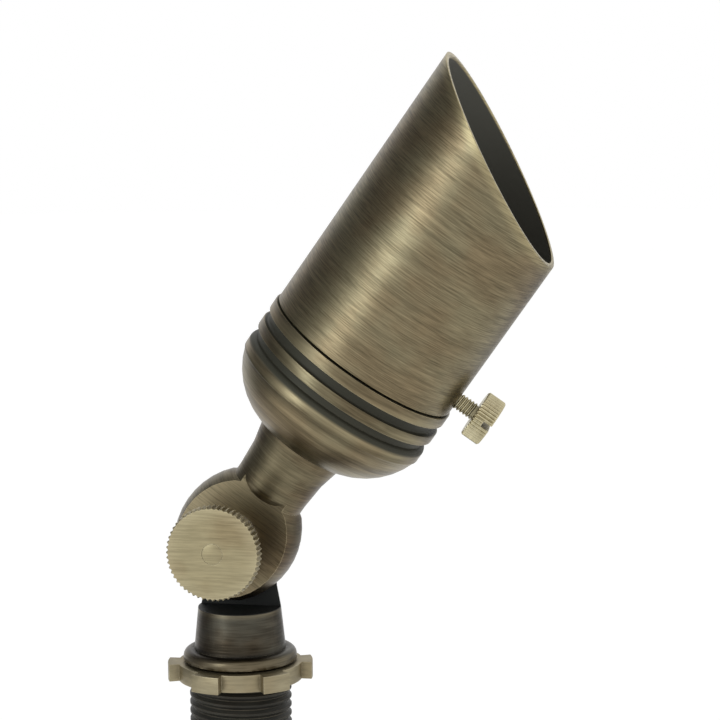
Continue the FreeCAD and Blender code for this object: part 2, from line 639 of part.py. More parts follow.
def lamp_reflector():
    """Glass bowl reflector with a straight rim that holds the front glass."""
    low = LAMP_FOOT + LAMP_FOOT_SIZE[2]
    rim = LAMP_FRONT - LAMP_RIM_HEIGHT
    shoulder = LAMP_RADIUS - LAMP_RIM_STEP
    middle = (LAMP_BOWL_BULGE[0] * shoulder, low + LAMP_BOWL_BULGE[1] * (rim - low))
    inner_rim = LAMP_RADIUS - LAMP_SHELL
    bowl_rim = inner_rim - LAMP_RIM_STEP
    neck_bore = CAPSULE_RADIUS + LAMP_COLLAR_GAP
    inner_middle = (middle[0] - LAMP_SHELL, middle[1] + LAMP_SHELL / 2)
    return on_head(turned(
        (neck_bore, low), (LAMP_NECK_RADIUS, low), (middle, (shoulder, rim)),
        (LAMP_RADIUS, rim), (LAMP_RADIUS, LAMP_FRONT), (inner_rim, LAMP_FRONT),
        (inner_rim, LAMP_GLASS_SEAT), (bowl_rim, LAMP_GLASS_SEAT),
        (inner_middle, (neck_bore, low + LAMP_SHELL))))


def lamp_glass():
    return on_head(rod(LAMP_RADIUS - LAMP_SHELL, LAMP_GLASS_SEAT,
                       LAMP_GLASS_SEAT + LAMP_GLASS_THICKNESS))


def lamp_capsule():
    """Quartz burner that stands in the reflector's neck."""
    low = LAMP_FOOT + LAMP_FOOT_SIZE[2]
    straight = low + CAPSULE_LENGTH - CAPSULE_RADIUS
    dome = Part.makeSphere(CAPSULE_RADIUS, FreeCAD.Vector(0, 0, straight))
    return on_head(rod(CAPSULE_RADIUS, low, straight).fuse(dome))


# ---- sleeve, lens and shroud ----

def lamp_sleeve():
    """Tube that screws into the cup, carries the lens, and guides the shroud."""
    low = PLATE_TOP + FACE_GAP
    shoulder = CUP_RIM + FACE_GAP
    spigot = SLEEVE_SPIGOT_RADIUS
    groove = SLEEVE_RADIUS - 2 * O_RING_SECTION_RADIUS
    half = O_RING_GROOVE_WIDTH / 2
    return on_head(turned(
        (SLEEVE_BORE_RADIUS, low), (spigot, low), (spigot, shoulder), (SLEEVE_RADIUS, shoulder),
        (SLEEVE_RADIUS, O_RING_STATION - half), (groove, O_RING_STATION - half),
        (groove, O_RING_STATION + half), (SLEEVE_RADIUS, O_RING_STATION + half),
        (SLEEVE_RADIUS, SLEEVE_END), (SLEEVE_LIP_RADIUS, SLEEVE_END),
        (SLEEVE_LIP_RADIUS, SLEEVE_SEAT), (SLEEVE_BORE_RADIUS, SLEEVE_SEAT)))


def shroud_o_ring():
    centre = SLEEVE_RADIUS - O_RING_SECTION_RADIUS
    return on_head(Part.makeTorus(centre, O_RING_SECTION_RADIUS,
                                  FreeCAD.Vector(0, 0, O_RING_STATION), UP))


def lens_gasket():
    return on_head(ring(SLEEVE_LIP_RADIUS - LENS_CLEARANCE, SLEEVE_BORE_RADIUS, SLEEVE_SEAT,
                        LENS_STATION))


def front_lens():
    return on_head(rod(SLEEVE_LIP_RADIUS - LENS_CLEARANCE, LENS_STATION,
                       LENS_STATION + LENS_THICKNESS))


def lens_ring():
    """Threaded ring that presses the lens on its gasket, with two spanner notches."""
    low = LENS_STATION + LENS_THICKNESS
    high = low + LENS_RING_HEIGHT
    body = ring(SLEEVE_LIP_RADIUS, SLEEVE_LIP_RADIUS - LENS_RING_WALL, low, high)
    half = LENS_RING_NOTCH / 2
    notch = block(-BIG, BIG, -half, half, high - LENS_RING_HEIGHT / 2, high + 1)
    return on_head(body.cut(notch))


def shroud():
    """Tube with a slanted mouth. Its long side is the upper one, away from +X."""
    long_end = SHROUD_CUT_STATION + SHROUD_RADIUS
    bore = SHROUD_BORE_RADIUS
    tube = turned((bore, SHROUD_START), (SHROUD_RADIUS - SHROUD_EDGE, SHROUD_START),
                  (SHROUD_RADIUS, SHROUD_START + SHROUD_EDGE), (SHROUD_RADIUS, long_end),
                  (bore, long_end))
    knife = block(-BIG, BIG, -BIG, BIG, 0, BIG)
    knife.rotate(CENTRE, ALONG_Y, SHROUD_CUT_SLOPE)
    knife.rotate(CENTRE, UP, SHROUD_CUT_TURN)
    knife.translate(FreeCAD.Vector(0, 0, SHROUD_CUT_STATION))
    hole = Part.makeCylinder(THUMB_SHANK_RADIUS + RUNNING_FIT, SHROUD_RADIUS + 1,
                             FreeCAD.Vector(0, 0, THUMB_STATION), ALONG_X)
    hole.rotate(CENTRE, UP, THUMB_TURN)
    return on_head(tube.cut(knife).cut(hole))


def shroud_thumb_screw():
    """Knurled brass screw through the shroud's wall, with a driver slot."""
    tip = SLEEVE_RADIUS + FACE_GAP
    head_end = THUMB_HEAD_START + THUMB_HEAD_THICKNESS
    crests = thread_steps(THUMB_SHANK_RADIUS, THUMB_THREAD_DEPTH, THUMB_PITCH,
                          THUMB_HEAD_START, tip)
    shank = turned((0, THUMB_HEAD_START + 1), (THUMB_SHANK_RADIUS, THUMB_HEAD_START + 1), *crests,
                   (THUMB_SHANK_RADIUS - THUMB_THREAD_DEPTH, tip), (0, tip))
    head = knurled(THUMB_HEAD_RADIUS, THUMB_TOOTH_DEPTH, THUMB_TEETH, THUMB_HEAD_START, head_end,
                   THUMB_EDGE)
    slot = block(-THUMB_SLOT_WIDTH / 2, THUMB_SLOT_WIDTH / 2, -BIG, BIG,
                 head_end - THUMB_SLOT_DEPTH, BIG)
    screw = head.fuse(shank).cut(slot)
    screw.rotate(CENTRE, ALONG_Y, 90)
    screw.rotate(CENTRE, UP, THUMB_TURN)
    screw.translate(FreeCAD.Vector(0, 0, THUMB_STATION))
    return on_head(screw)


# ---- ground spike ----

def fin():
    """Flat blade through the spike's axis, tapering to a point."""
    outline = [(-FIN_HALF_WIDTH, 0), (FIN_HALF_WIDTH, 0), (FIN_TIP_HALF_WIDTH, -FIN_TAPER_DEPTH),
               (0, -SPIKE_DEPTH), (-FIN_TIP_HALF_WIDTH, -FIN_TAPER_DEPTH), (-FIN_HALF_WIDTH, 0)]
    points = [FreeCAD.Vector(x, -FIN_THICKNESS / 2, z) for x, z in outline]
    return Part.Face(Part.makePolygon(points)).extrude(FreeCAD.Vector(0, FIN_THICKNESS, 0))


def ground_spike():
    """Moulded stake: threaded hub, soil flange, cable chamber with a side slot, four fins."""
    hub = turned((0, 0), (FLANGE_RADIUS, 0), (FLANGE_RADIUS, FLANGE_THICKNESS),
                 (HUB_FOOT_RADIUS, FLANGE_THICKNESS), (HUB_RADIUS, HUB_HEIGHT - HUB_EDGE),
                 (HUB_RADIUS - HUB_EDGE, HUB_HEIGHT), (0, HUB_HEIGHT))
    core = turned((0, 0), (CORE_RADIUS, 0), (CORE_RADIUS, -CORE_DEPTH),
                  (CORE_TIP_RADIUS, -CORE_TIP_DEPTH), (0, -CORE_TIP_DEPTH))
    body = hub.fuse(core)
    for turn in (45, 135):
        blade = fin()
        blade.rotate(CENTRE, UP, turn)
        body = body.fuse(blade)
    thread = rod(THREAD_RADIUS + RUNNING_FIT, HUB_HEIGHT - HUB_THREAD_DEPTH, HUB_HEIGHT + 1)
    chamber = rod(CHAMBER_RADIUS, -CHAMBER_DEPTH, HUB_HEIGHT)
    half = CABLE_SLOT_WIDTH / 2
    slot = block(-half, half, 0, BIG, CABLE_SLOT_BOTTOM, CABLE_SLOT_TOP)
    return body.cut(thread).cut(chamber).cut(slot).removeSplitter()


PIECES = {
    "ground_spike": ground_spike,
    "lower_knuckle": lower_knuckle,
    "knuckle_seal": knuckle_seal,
    "cable_grommet": cable_grommet,
    "locknut": locknut,
    "pivot_screw": pivot_screw,
    "pivot_knob": pivot_knob,
    "pivot_washer": pivot_washer,
    "upper_knuckle": upper_knuckle,
    "lamp_cup": lamp_cup,
    "neck_washer": neck_washer,
    "neck_nut": neck_nut,
    "socket_plate": socket_plate,
    "socket_screws": lambda: pair(socket_screw),
    "lamp_socket": lamp_socket,
    "socket_contacts": lambda: pair(socket_contact),
    "socket_leads": lambda: pair(socket_lead),
    "crimp_splices": lambda: pair(crimp_splice),
    "lamp_foot": lamp_foot,
    "lamp_pins": lambda: pair(lamp_pin),
    "lamp_reflector": lamp_reflector,
    "lamp_capsule": lamp_capsule,
    "lamp_glass": lamp_glass,
    "lamp_sleeve": lamp_sleeve,
    "shroud_o_ring": shroud_o_ring,
    "lens_gasket": lens_gasket,
    "front_lens": front_lens,
    "lens_ring": lens_ring,
    "shroud": shroud,
    "shroud_thumb_screw": shroud_thumb_screw,
}

os.makedirs("parts", exist_ok=True)
for name, make in PIECES.items():
    piece = make()
    volume = sum(solid.Volume for solid in piece.Solids)
    print("%-20s %d solid(s) %10.2f mm3 %s" % (name, len(piece.Solids), volume, piece.isValid()))
    piece.exportStep("parts/" + name + ".step")
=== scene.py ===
# %% [markdown]
# # A garden spike spotlight in antique brass
#
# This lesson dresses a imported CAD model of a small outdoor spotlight. The light is turned
# from solid brass: a cup with two flat bands, a straight glare shroud with a slanted mouth,
# a knuckle that a knurled knob clamps, a threaded stem with a lug locknut, and a plastic
# spike that holds it in the soil. Nearly every part was made on a lathe, so nearly every
# piece here is an outline that is spun round an axis.
#
# The CAD model is the fixed frame: it gives the places and the moving bodies.

# %% Load the frame
import json
import math

import bmesh
import bpy
from mathutils import Matrix, Vector


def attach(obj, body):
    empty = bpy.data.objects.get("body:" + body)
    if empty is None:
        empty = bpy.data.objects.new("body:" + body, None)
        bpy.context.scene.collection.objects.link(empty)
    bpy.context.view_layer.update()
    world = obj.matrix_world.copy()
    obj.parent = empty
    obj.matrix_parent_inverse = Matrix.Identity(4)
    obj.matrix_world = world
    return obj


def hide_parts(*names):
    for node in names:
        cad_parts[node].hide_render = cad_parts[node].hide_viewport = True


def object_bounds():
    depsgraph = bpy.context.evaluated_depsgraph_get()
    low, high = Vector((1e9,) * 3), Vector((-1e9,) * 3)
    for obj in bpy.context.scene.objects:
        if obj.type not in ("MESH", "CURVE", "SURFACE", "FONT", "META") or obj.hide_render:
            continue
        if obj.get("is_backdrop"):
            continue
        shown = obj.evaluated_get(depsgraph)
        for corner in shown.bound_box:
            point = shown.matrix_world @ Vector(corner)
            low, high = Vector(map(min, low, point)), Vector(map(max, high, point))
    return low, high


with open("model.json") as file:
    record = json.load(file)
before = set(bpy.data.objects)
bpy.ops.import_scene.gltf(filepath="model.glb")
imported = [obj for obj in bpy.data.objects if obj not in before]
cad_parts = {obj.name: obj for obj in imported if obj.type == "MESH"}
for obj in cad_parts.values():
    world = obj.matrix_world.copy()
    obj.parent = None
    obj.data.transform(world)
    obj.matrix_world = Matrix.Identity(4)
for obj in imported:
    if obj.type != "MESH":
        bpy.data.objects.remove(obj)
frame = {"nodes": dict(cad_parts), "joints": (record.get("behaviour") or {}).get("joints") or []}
CAD_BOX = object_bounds()

# %% [markdown]
# ## Two frames to work in
#
# Blender measures in metres, but a lathe drawing is in millimetres. Pieces are drawn in
# millimetres round their own axis, and one matrix then takes them to their place. The stem
# stands upright. The lamp head leans over, and its axis is the one that the shroud slides
# along, so the tilt is read from that joint and never typed in.

# %% The stem's frame and the head's frame
MM = 0.001
joints = {joint["name"]: joint for joint in frame["joints"]}
PIVOT = Vector(joints["head_tilt"]["pos_m"])
HEAD_AXIS = Vector(joints["shroud_slide"]["axis"])
HEAD_TILT = math.atan2(HEAD_AXIS.x, HEAD_AXIS.z)

TO_FRONT = Matrix.Rotation(math.pi / 2, 4, "X")     # +Z becomes -Y
ON_STEM = Matrix.Translation(PIVOT) @ Matrix.Scale(MM, 4)
ON_HEAD = Matrix.Translation(PIVOT) @ Matrix.Rotation(HEAD_TILT, 4, "Y") @ Matrix.Scale(MM, 4)
FACING_FRONT = ON_STEM @ TO_FRONT
print("pivot", tuple(round(c, 4) for c in PIVOT), "tilt", round(math.degrees(HEAD_TILT), 2))

# %% [markdown]
# ## The camera
#
# The photograph is a long-lens product shot from a little above the knuckle. A camera is
# easiest to check from something known, so it is placed from three things: the direction it
# looks from, its distance to the pivot, and the spot in the picture where the pivot falls.

# %% Camera
PHOTO_SIZE = 720
SENSOR_WIDTH = 36.0
LENS_PIXELS = 2444.05                   # focal length, in pixels of the photograph
VIEW_AZIMUTH, VIEW_ELEVATION, VIEW_ROLL = (math.radians(a) for a in (12.146, 7.818, -0.431))
PIVOT_DISTANCE = 0.500037
PIVOT_IN_PICTURE = (238.598, 533.471)


def place_camera():
    turn = (Matrix.Rotation(VIEW_AZIMUTH, 4, "Z")
            @ Matrix.Rotation(math.pi / 2 - VIEW_ELEVATION, 4, "X")
            @ Matrix.Rotation(VIEW_ROLL, 4, "Z"))
    per_pixel = PIVOT_DISTANCE / LENS_PIXELS
    across = (PIVOT_IN_PICTURE[0] - PHOTO_SIZE / 2) * per_pixel
    above = (PHOTO_SIZE / 2 - PIVOT_IN_PICTURE[1]) * per_pixel
    away = Matrix.Translation((-across, -above, PIVOT_DISTANCE))
    return Matrix.Translation(PIVOT) @ turn @ away


lens = bpy.data.cameras.new("camera")
lens.sensor_width = SENSOR_WIDTH
lens.lens = LENS_PIXELS / PHOTO_SIZE * SENSOR_WIDTH
lens.clip_start = 0.01
camera = bpy.data.objects.new("camera", lens)
camera.matrix_world = place_camera()
bpy.context.scene.collection.objects.link(camera)
bpy.context.scene.camera = camera
print("camera at", tuple(round(c, 3) for c in camera.matrix_world.translation))

# %% [markdown]
# ## Drawing an outline and spinning it
#
# A turned part is one outline and one spin. The outline is drawn in the XZ plane as
# (radius, height) points. Straight runs only need their ends. A rounded run is given by a
# point on it and its end, and the spin operator sweeps the last vertex round the arc's
# centre. Afterwards sharp rims get a narrow bevel, because a real rim always catches a thin
# line of light.

# %% Helpers for turned parts
SPIN_STEPS, COARSE_STEPS = 256, 160     # the largest faces, and all other turned parts
ARC_STEP = math.radians(9)
MERGE = 0.0005                          # mm


def arc_centre(a, b, c):
    """Centre of the circle through three (radius, height) points."""
    ab, ac = Vector(b) - Vector(a), Vector(c) - Vector(a)
    turn = 2 * ab.cross(ac)
    x = (ac.y * ab.length_squared - ab.y * ac.length_squared) / turn
    y = (ab.x * ac.length_squared - ac.x * ab.length_squared) / turn
    return (a[0] + x, a[1] + y)


def quarter(centre, start, end):
    """The step for a quarter round: its middle and its end."""
    share = math.sqrt(0.5)
    return (tuple(c + share * (a - c + b - c) for c, a, b in zip(centre, start, end)), end)


def sweep_arc(mesh, vertex, middle, end):
    start = (vertex.co.x, vertex.co.z)
    centre = arc_centre(start, middle, end)
    angles = [math.atan2(p[1] - centre[1], p[0] - centre[0]) for p in (start, middle, end)]
    turn = sum((b - a + math.pi) % (2 * math.pi) - math.pi for a, b in zip(angles, angles[1:]))
    swept = bmesh.ops.spin(mesh, geom=[vertex], cent=(centre[0], 0, centre[1]), axis=(0, -1, 0),
                           angle=turn, steps=max(2, math.ceil(abs(turn) / ARC_STEP)))
    return next(v for v in swept["geom_last"] if isinstance(v, bmesh.types.BMVert))


def draw(start, *steps, closed=False):
    """A bmesh with one outline. A step is a point, or a point that an arc passes and its end."""
    mesh = bmesh.new()
    first = here = mesh.verts.new((start[0], 0, start[1]))
    for step in steps:
        if isinstance(step[0], tuple):
            here = sweep_arc(mesh, here, *step)
        else:
            there = mesh.verts.new((step[0], 0, step[1]))
            mesh.edges.new((here, there))
            here = there
    if closed:
        mesh.edges.new((here, first))
    return mesh


def turned(*outline, closed=False, steps=COARSE_STEPS):
    """Draws an outline and spins it all the way round Z into a closed skin."""
    mesh = draw(*outline, closed=closed)
    bmesh.ops.spin(mesh, geom=mesh.verts[:] + mesh.edges[:], cent=(0, 0, 0), axis=(0, 0, 1),
                   angle=2 * math.pi, steps=steps, use_merge=True)
    return cleaned(mesh)


def cleaned(mesh):
    bmesh.ops.remove_doubles(mesh, verts=mesh.verts, dist=MERGE)
    bmesh.ops.dissolve_degenerate(mesh, edges=mesh.edges, dist=MERGE)
    bmesh.ops.recalc_face_normals(mesh, faces=mesh.faces)
    return mesh


def soften(mesh, width, above=28, where=lambda middle: True, segments=2):
    """Breaks the edges that are sharper than a given angle, as a file or a tumbler does."""
    sharp = [edge for edge in mesh.edges
             if len(edge.link_faces) == 2 and edge.calc_face_angle(0) > math.radians(above)
             and where((edge.verts[0].co + edge.verts[1].co) / 2)]
    bmesh.ops.bevel(mesh, geom=sharp, offset=width, segments=segments, profile=0.5,
                    affect="EDGES", material=-1, clamp_overlap=True)
    return mesh


def as_data(name, mesh):
    data = bpy.data.meshes.new(name)
    mesh.to_mesh(data)
    mesh.free()
    return data


def as_object(name, mesh, place=Matrix.Identity(4)):
    mesh.transform(place)
    piece = bpy.data.objects.new(name, as_data(name, mesh))
    bpy.context.scene.collection.objects.link(piece)
    return piece


# %% [markdown]
# ## Cutting one shape with another
#
# The knuckle was turned and then milled: flats, pockets and cross holes. A Boolean modifier
# does the same job. It is applied at once, so that what remains is a plain mesh that can
# still be softened and merged.

# %% Helpers for milled parts
BIG = 60.0                              # mm, past the side of every piece


def carve(mesh, *tools, operation="DIFFERENCE"):
    """Cuts, adds or keeps the volume of each tool in turn."""
    for tool in tools:
        work, cutter = as_object("work", mesh), as_object("cutter", tool)
        step = work.modifiers.new("carve", "BOOLEAN")
        step.operation, step.object, step.solver = operation, cutter, "EXACT"
        mesh = bmesh.new()
        mesh.from_object(work, bpy.context.evaluated_depsgraph_get())
        for piece in (work, cutter):
            data = piece.data
            bpy.data.objects.remove(piece)
            bpy.data.meshes.remove(data)
        cleaned(mesh)
    return mesh


def box(low, high):
    mesh = bmesh.new()
    size = Matrix.Diagonal(Vector(high) - Vector(low)).to_4x4()
    middle = Matrix.Translation((Vector(high) + Vector(low)) / 2)
    bmesh.ops.create_cube(mesh, size=1, matrix=middle @ size)
    return mesh


def rod(radius, low, high, place=Matrix.Identity(4), steps=96):
    """A round bar along Z, or along whatever place turns Z to."""
    mesh = bmesh.new()
    middle = place @ Matrix.Translation((0, 0, (low + high) / 2))
    bmesh.ops.create_cone(mesh, cap_ends=True, segments=steps, radius1=radius, radius2=radius,
                          depth=high - low, matrix=middle)
    return mesh


def moved_out(result):
    """The vertices that an extrusion made."""
    return [item for item in result["geom"] if isinstance(item, bmesh.types.BMVert)]


# %% [markdown]
# ## Handing a piece over
#
# Every finished piece keeps its place in its mesh, rides on one body, gets its finish, and
# hides the CAD node it stands for. Shading is smooth, with a crease wherever two faces
# still meet at a clear angle. Weighted normals keep large faces flat beside a narrow
# bevel, which would otherwise make a flat end look domed.

# %% Helper that finishes a piece
CREASE = math.radians(32)
FLATNESS = 90                           # how far large faces outweigh small ones, of 100


def hand_over(name, mesh, place, body, finish, node):
    piece = as_object(name, mesh, place)
    piece.data.materials.append(finish)
    piece.data.polygons.foreach_set("use_smooth", [True] * len(piece.data.polygons))
    piece.data.set_sharp_from_angle(angle=CREASE)
    flat_faces = piece.modifiers.new("flat faces stay flat", "WEIGHTED_NORMAL")
    flat_faces.keep_sharp = True
    flat_faces.weight = FLATNESS
    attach(piece, body)
    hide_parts(node)
    triangles = sum(len(face.vertices) - 2 for face in piece.data.polygons)
    print("%-20s %6d triangles, on %s" % (name, triangles, body))


# %% [markdown]
# ## Antique brass
#
# The real finish is a chemical patina that was brushed back while the part turned in the
# lathe. It shows as fine streaks round the part, warmer and greener clouds, dark corners
# where the brush could not reach, and bare brass on the edges that hands and tools rub.
#
# A painted texture could hold all that, but it would need unwrapping. Here everything
# comes from position: noise that is stretched round the axis gives the streaks, ambient
# occlusion finds the corners, and the difference between a bevelled and a plain normal finds
# the edges. A Mapping node of type TEXTURE turns the pattern to the lathe's axis.

# %% Words for wiring nodes
class Wiring:
    """Short words for the nodes of one tree."""

    def __init__(self, tree):
        self.tree = tree

    def node(self, kind, inputs=(), **settings):
        made = self.tree.nodes.new("ShaderNode" + kind)
        for key, value in settings.items():
            setattr(made, key, value)
        for key, value in dict(inputs).items():
            self.put(made.inputs[key], value)
        return made

    def put(self, socket, value):
        if isinstance(value, bpy.types.NodeSocket):
            self.tree.links.new(value, socket)
        else:
            socket.default_value = value

    def maths(self, operation, a, b=0.0):
        return self.node("Math", {0: a, 1: b}, operation=operation).outputs[0]

    def line(self, value, slope, start):
        """start + slope * value"""
        return self.node("Math", {0: value, 1: slope, 2: start},
                         operation="MULTIPLY_ADD").outputs[0]

    def times(self, a, b):
        return self.maths("MULTIPLY", a, b)

    def larger(self, a, b):
        return self.maths("MAXIMUM", a, b)

    def dot(self, a, b):
        return self.node("VectorMath", {0: a, 1: b}, operation="DOT_PRODUCT").outputs["Value"]

    def size(self, vector, share):
        """Length of a vector, after each coordinate is taken by its own share."""
        taken = self.node("VectorMath", {0: vector, 1: share}, operation="MULTIPLY").outputs[0]
        return self.node("VectorMath", {0: taken}, operation="LENGTH").outputs["Value"]

    def within(self, value, low, high):
        """0 below low, 1 above high, and smooth between."""
        return self.node("MapRange", {"Value": value, "From Min": low, "From Max": high},
                         interpolation_type="SMOOTHSTEP").outputs["Result"]

    def mix(self, share, a, b):
        made = self.node("Mix", data_type="RGBA")
        for key, value in zip((0, 6, 7), (share, a, b)):
            self.put(made.inputs[key], value)
        return made.outputs[2]


class Finish(Wiring):
    """A material. Its spot is the point in object coordinates, seen from the lathe's axis."""

    def __init__(self, name, origin=(0, 0, 0), turn=(0, 0, 0)):
        self.material = bpy.data.materials.new(name)
        self.material.use_nodes = True
        super().__init__(self.material.node_tree)
        self.shader = self.tree.nodes["Principled BSDF"]
        here = self.node("TexCoord").outputs["Object"]
        self.spot = self.node("Mapping", {"Vector": here, "Location": origin, "Rotation": turn},
                              vector_type="TEXTURE").outputs[0]

    def noise(self, stretch, where=None, detail=3.0, rough=0.55):
        """Noise with a number of grains per metre, or with one for each direction."""
        stretch = stretch if isinstance(stretch, tuple) else (stretch,) * 3
        vector = self.node("VectorMath", {0: where or self.spot, 1: stretch},
                           operation="MULTIPLY").outputs[0]
        return self.node("TexNoise", {"Vector": vector, "Scale": 1.0, "Detail": detail,
                                      "Roughness": rough}).outputs["Fac"]

    def bump(self, height, depth, strength):
        return self.node("Bump", {"Height": height, "Distance": depth,
                                  "Strength": strength}).outputs["Normal"]

    def shade(self, **inputs):
        for key, value in inputs.items():
            self.put(self.shader.inputs[key.replace("_", " ")], value)
        print("finish", self.material.name, "with", len(self.tree.nodes), "nodes")
        return self.material


def rgb(red, green, blue):
    """A linear colour."""
    return (red, green, blue, 1.0)


# %% [markdown]
# A mask is a number from 0 to 1 that says where something happens. Four serve all the
# brass: past a height, past a radius, on an outer edge, in a corner that no brush reaches.

# %% Masks for the brass
HEAD_PLACE = {"origin": PIVOT, "turn": (0, HEAD_TILT, 0)}
STEM_PLACE = {"origin": PIVOT}
UP, BACK = (0, 0, 1), (0, 1, 0)
EDGE_WIDTH = 0.00022                    # m


def part_of(f, axis, low, high):
    """1 where the position along an axis has passed from low to high, in millimetres."""
    return f.within(f.dot(f.spot, axis), low * MM, high * MM)


def radius_past(f, low, high):
    return f.within(f.size(f.spot, (1, 1, 0)), low * MM, high * MM)


def outer_edges(f):
    rounded = f.node("Bevel", {"Radius": EDGE_WIDTH}, samples=4).outputs[0]
    match = f.dot(rounded, f.node("NewGeometry").outputs["Normal"])
    return f.within(f.maths("SUBTRACT", 1.0, match), 0.01, 0.12)


def shut_corners(f, reach):
    air = f.node("AmbientOcclusion", {"Distance": reach}, samples=8, only_local=True)
    return f.within(f.maths("SUBTRACT", 1.0, air.outputs["AO"]), 0.12, 0.62)


# %% [markdown]
# One recipe serves every brass part. Strokes, bands and clouds set how light the metal is,
# then rubbed places and edges turn to bare brass, and so do the places where a part paints a
# highlight. Last the patina covers the corners, together with any painted shade that a part
# asks for. It is a mineral skin, so it takes most of the metal's shine with it.

# %% The brushed brass recipe
def brushed_brass(name, where, colours, strokes=(170, 170, 5200), bands=(42, 42, 900),
                  contrast=0.66, banding=0.24, patches=0.12, patina=0.9, hollow=0.0026,
                  roughness=0.36, swirl=0.0, lighter=None, darker=None):
    """Colours: cool, warm, bare (for rubbed places and painted highlights) and dark. Strokes and
    bands: grains per metre on each axis. Lighter and darker are masks; lighter can carry a
    painted highlight, darker a painted shade. A swirl makes the pattern follow the radius too,
    as on a face turned square to the axis."""
    cool, warm, worn_and_highlight, dark = (rgb(*colour) for colour in colours)
    f = Finish(name, **where)
    shift = f.node("CombineXYZ", {"Z": f.times(f.size(f.spot, (1, 1, 0)), swirl)}).outputs[0]
    swirled = f.node("VectorMath", {0: f.spot, 1: shift}, operation="ADD").outputs[0]
    fine = f.within(f.noise(strokes, swirled, detail=4.0, rough=0.62), 0.3, 0.7)
    broad = f.within(f.noise(bands, swirled), 0.28, 0.72)
    cloud = f.noise(70)
    tone = f.mix(f.within(cloud, 0.38, 0.64), cool, warm)
    level = f.line(fine, contrast, 1.0 - (contrast + banding + patches) / 2)
    level = f.line(broad, banding, level)
    level = f.line(f.within(cloud, 0.62, 0.36), patches, level)
    metal = f.node("VectorMath", {0: tone, "Scale": level}, operation="SCALE").outputs[0]
    # Lighter places turn to bare brass: rubbed wear on some parts, a painted highlight on others.
    if lighter:
        metal = f.mix(f.times(lighter(f), f.within(fine, -0.6, 0.8)), metal, worn_and_highlight)
    metal = f.mix(f.times(outer_edges(f), f.within(broad, -0.2, 0.6)), metal, worn_and_highlight)

    skin = f.times(shut_corners(f, hollow), patina)
    # Darker places join the patina; on the stem this is painted shade under the ball.
    if darker:
        skin = f.larger(skin, darker(f))
    dull = f.line(skin, 0.15, f.line(fine, -0.05, roughness + 0.02))
    return f.shade(Base_Color=f.mix(skin, metal, dark), Metallic=f.line(skin, -0.75, 1.0),
                   Roughness=dull, Specular_IOR_Level=0.2, Normal=f.bump(fine, 0.000012, 0.5))


HEAD_COLOURS = ((0.178, 0.152, 0.092), (0.184, 0.144, 0.084),
                (0.48, 0.41, 0.26), (0.036, 0.036, 0.026))
head_brass = brushed_brass("head_brass", HEAD_PLACE, HEAD_COLOURS)

# %% [markdown]
# On the cup the brush never reached the grooves, so their floors kept the dark patina from
# side to side. Ambient occlusion alone only darkens their corners. The grooves lie at a
# known radius and height, and a mask of those two numbers fills them.

# %% Cup finish
def in_the_grooves(f):
    floors = f.times(radius_past(f, 20.8, 20.55), part_of(f, UP, 36.5, 36.9))
    shoulder = f.times(part_of(f, UP, 35.8, 36.6), part_of(f, UP, 39.0, 38.8))
    return f.times(f.larger(floors, shoulder), 0.95)


cup_brass = brushed_brass(
    "cup_brass", HEAD_PLACE, HEAD_COLOURS, strokes=(150, 150, 2600), bands=(30, 30, 560),
    contrast=0.32, banding=0.72, patches=0.2, swirl=1.0, darker=in_the_grooves)

# %% [markdown]
# The shroud is the largest face of all. Its slanted mouth was cut after the tube was
# coloured, so the cut itself is nearly bare metal. That is a matter of place: everything
# within a hair of the cutting plane is rubbed, and so the same plane cuts the mesh and
# draws the bright line. The inside was never brushed, so it keeps the full dark patina.

# %% Shroud finish
CUT_STATION, CUT_SLOPE, CUT_TURN = 93.8, math.radians(28.8), math.radians(2.6)
CUT_NORMAL = (Matrix.Rotation(CUT_TURN, 3, "Z") @ Matrix.Rotation(CUT_SLOPE, 3, "Y")
              @ Vector(UP))
MOUTH = CUT_STATION * CUT_NORMAL.z      # how far the cut is along its own normal


def near_the_cut(f):
    band = part_of(f, CUT_NORMAL, MOUTH - 2.2, MOUTH - 0.4)
    cut = part_of(f, CUT_NORMAL, MOUTH - 0.35, MOUTH - 0.1)
    return f.line(cut, 0.4, f.times(band, 0.55))


def inside_the_tube(f):
    below = part_of(f, CUT_NORMAL, MOUTH - 0.2, MOUTH - 0.5)
    return f.times(radius_past(f, 20.0, 19.8), below)


SHROUD_COLOURS = HEAD_COLOURS[:2] + ((0.4, 0.34, 0.19), (0.08, 0.078, 0.064))
shroud_brass = brushed_brass("shroud_brass", HEAD_PLACE, SHROUD_COLOURS,
                             lighter=near_the_cut, darker=inside_the_tube)

# %% [markdown]
# ## The glare shroud
#
# A straight tube slides over the inner sleeve and is cut at a slant, longer above, so that
# the lamp does not dazzle. One could boolean a tube with a block. A bisecting plane is
# closer to what the saw does: it opens both walls, and bridging the two loops makes the new
# rim. The rim is then rounded by a fraction of a millimetre.

# %% Shroud
SHROUD_RADIUS, SHROUD_BORE, SHROUD_START, SHROUD_EDGE = 20.6, 19.57, 46.0, 0.25
THUMB_STATION, THUMB_TURN, THUMB_HOLE = 49.25, math.radians(5.5), 1.8
THUMB_PLACE = (Matrix.Translation((0, 0, THUMB_STATION)) @ Matrix.Rotation(THUMB_TURN, 4, "Z")
               @ Matrix.Rotation(math.pi / 2, 4, "Y"))


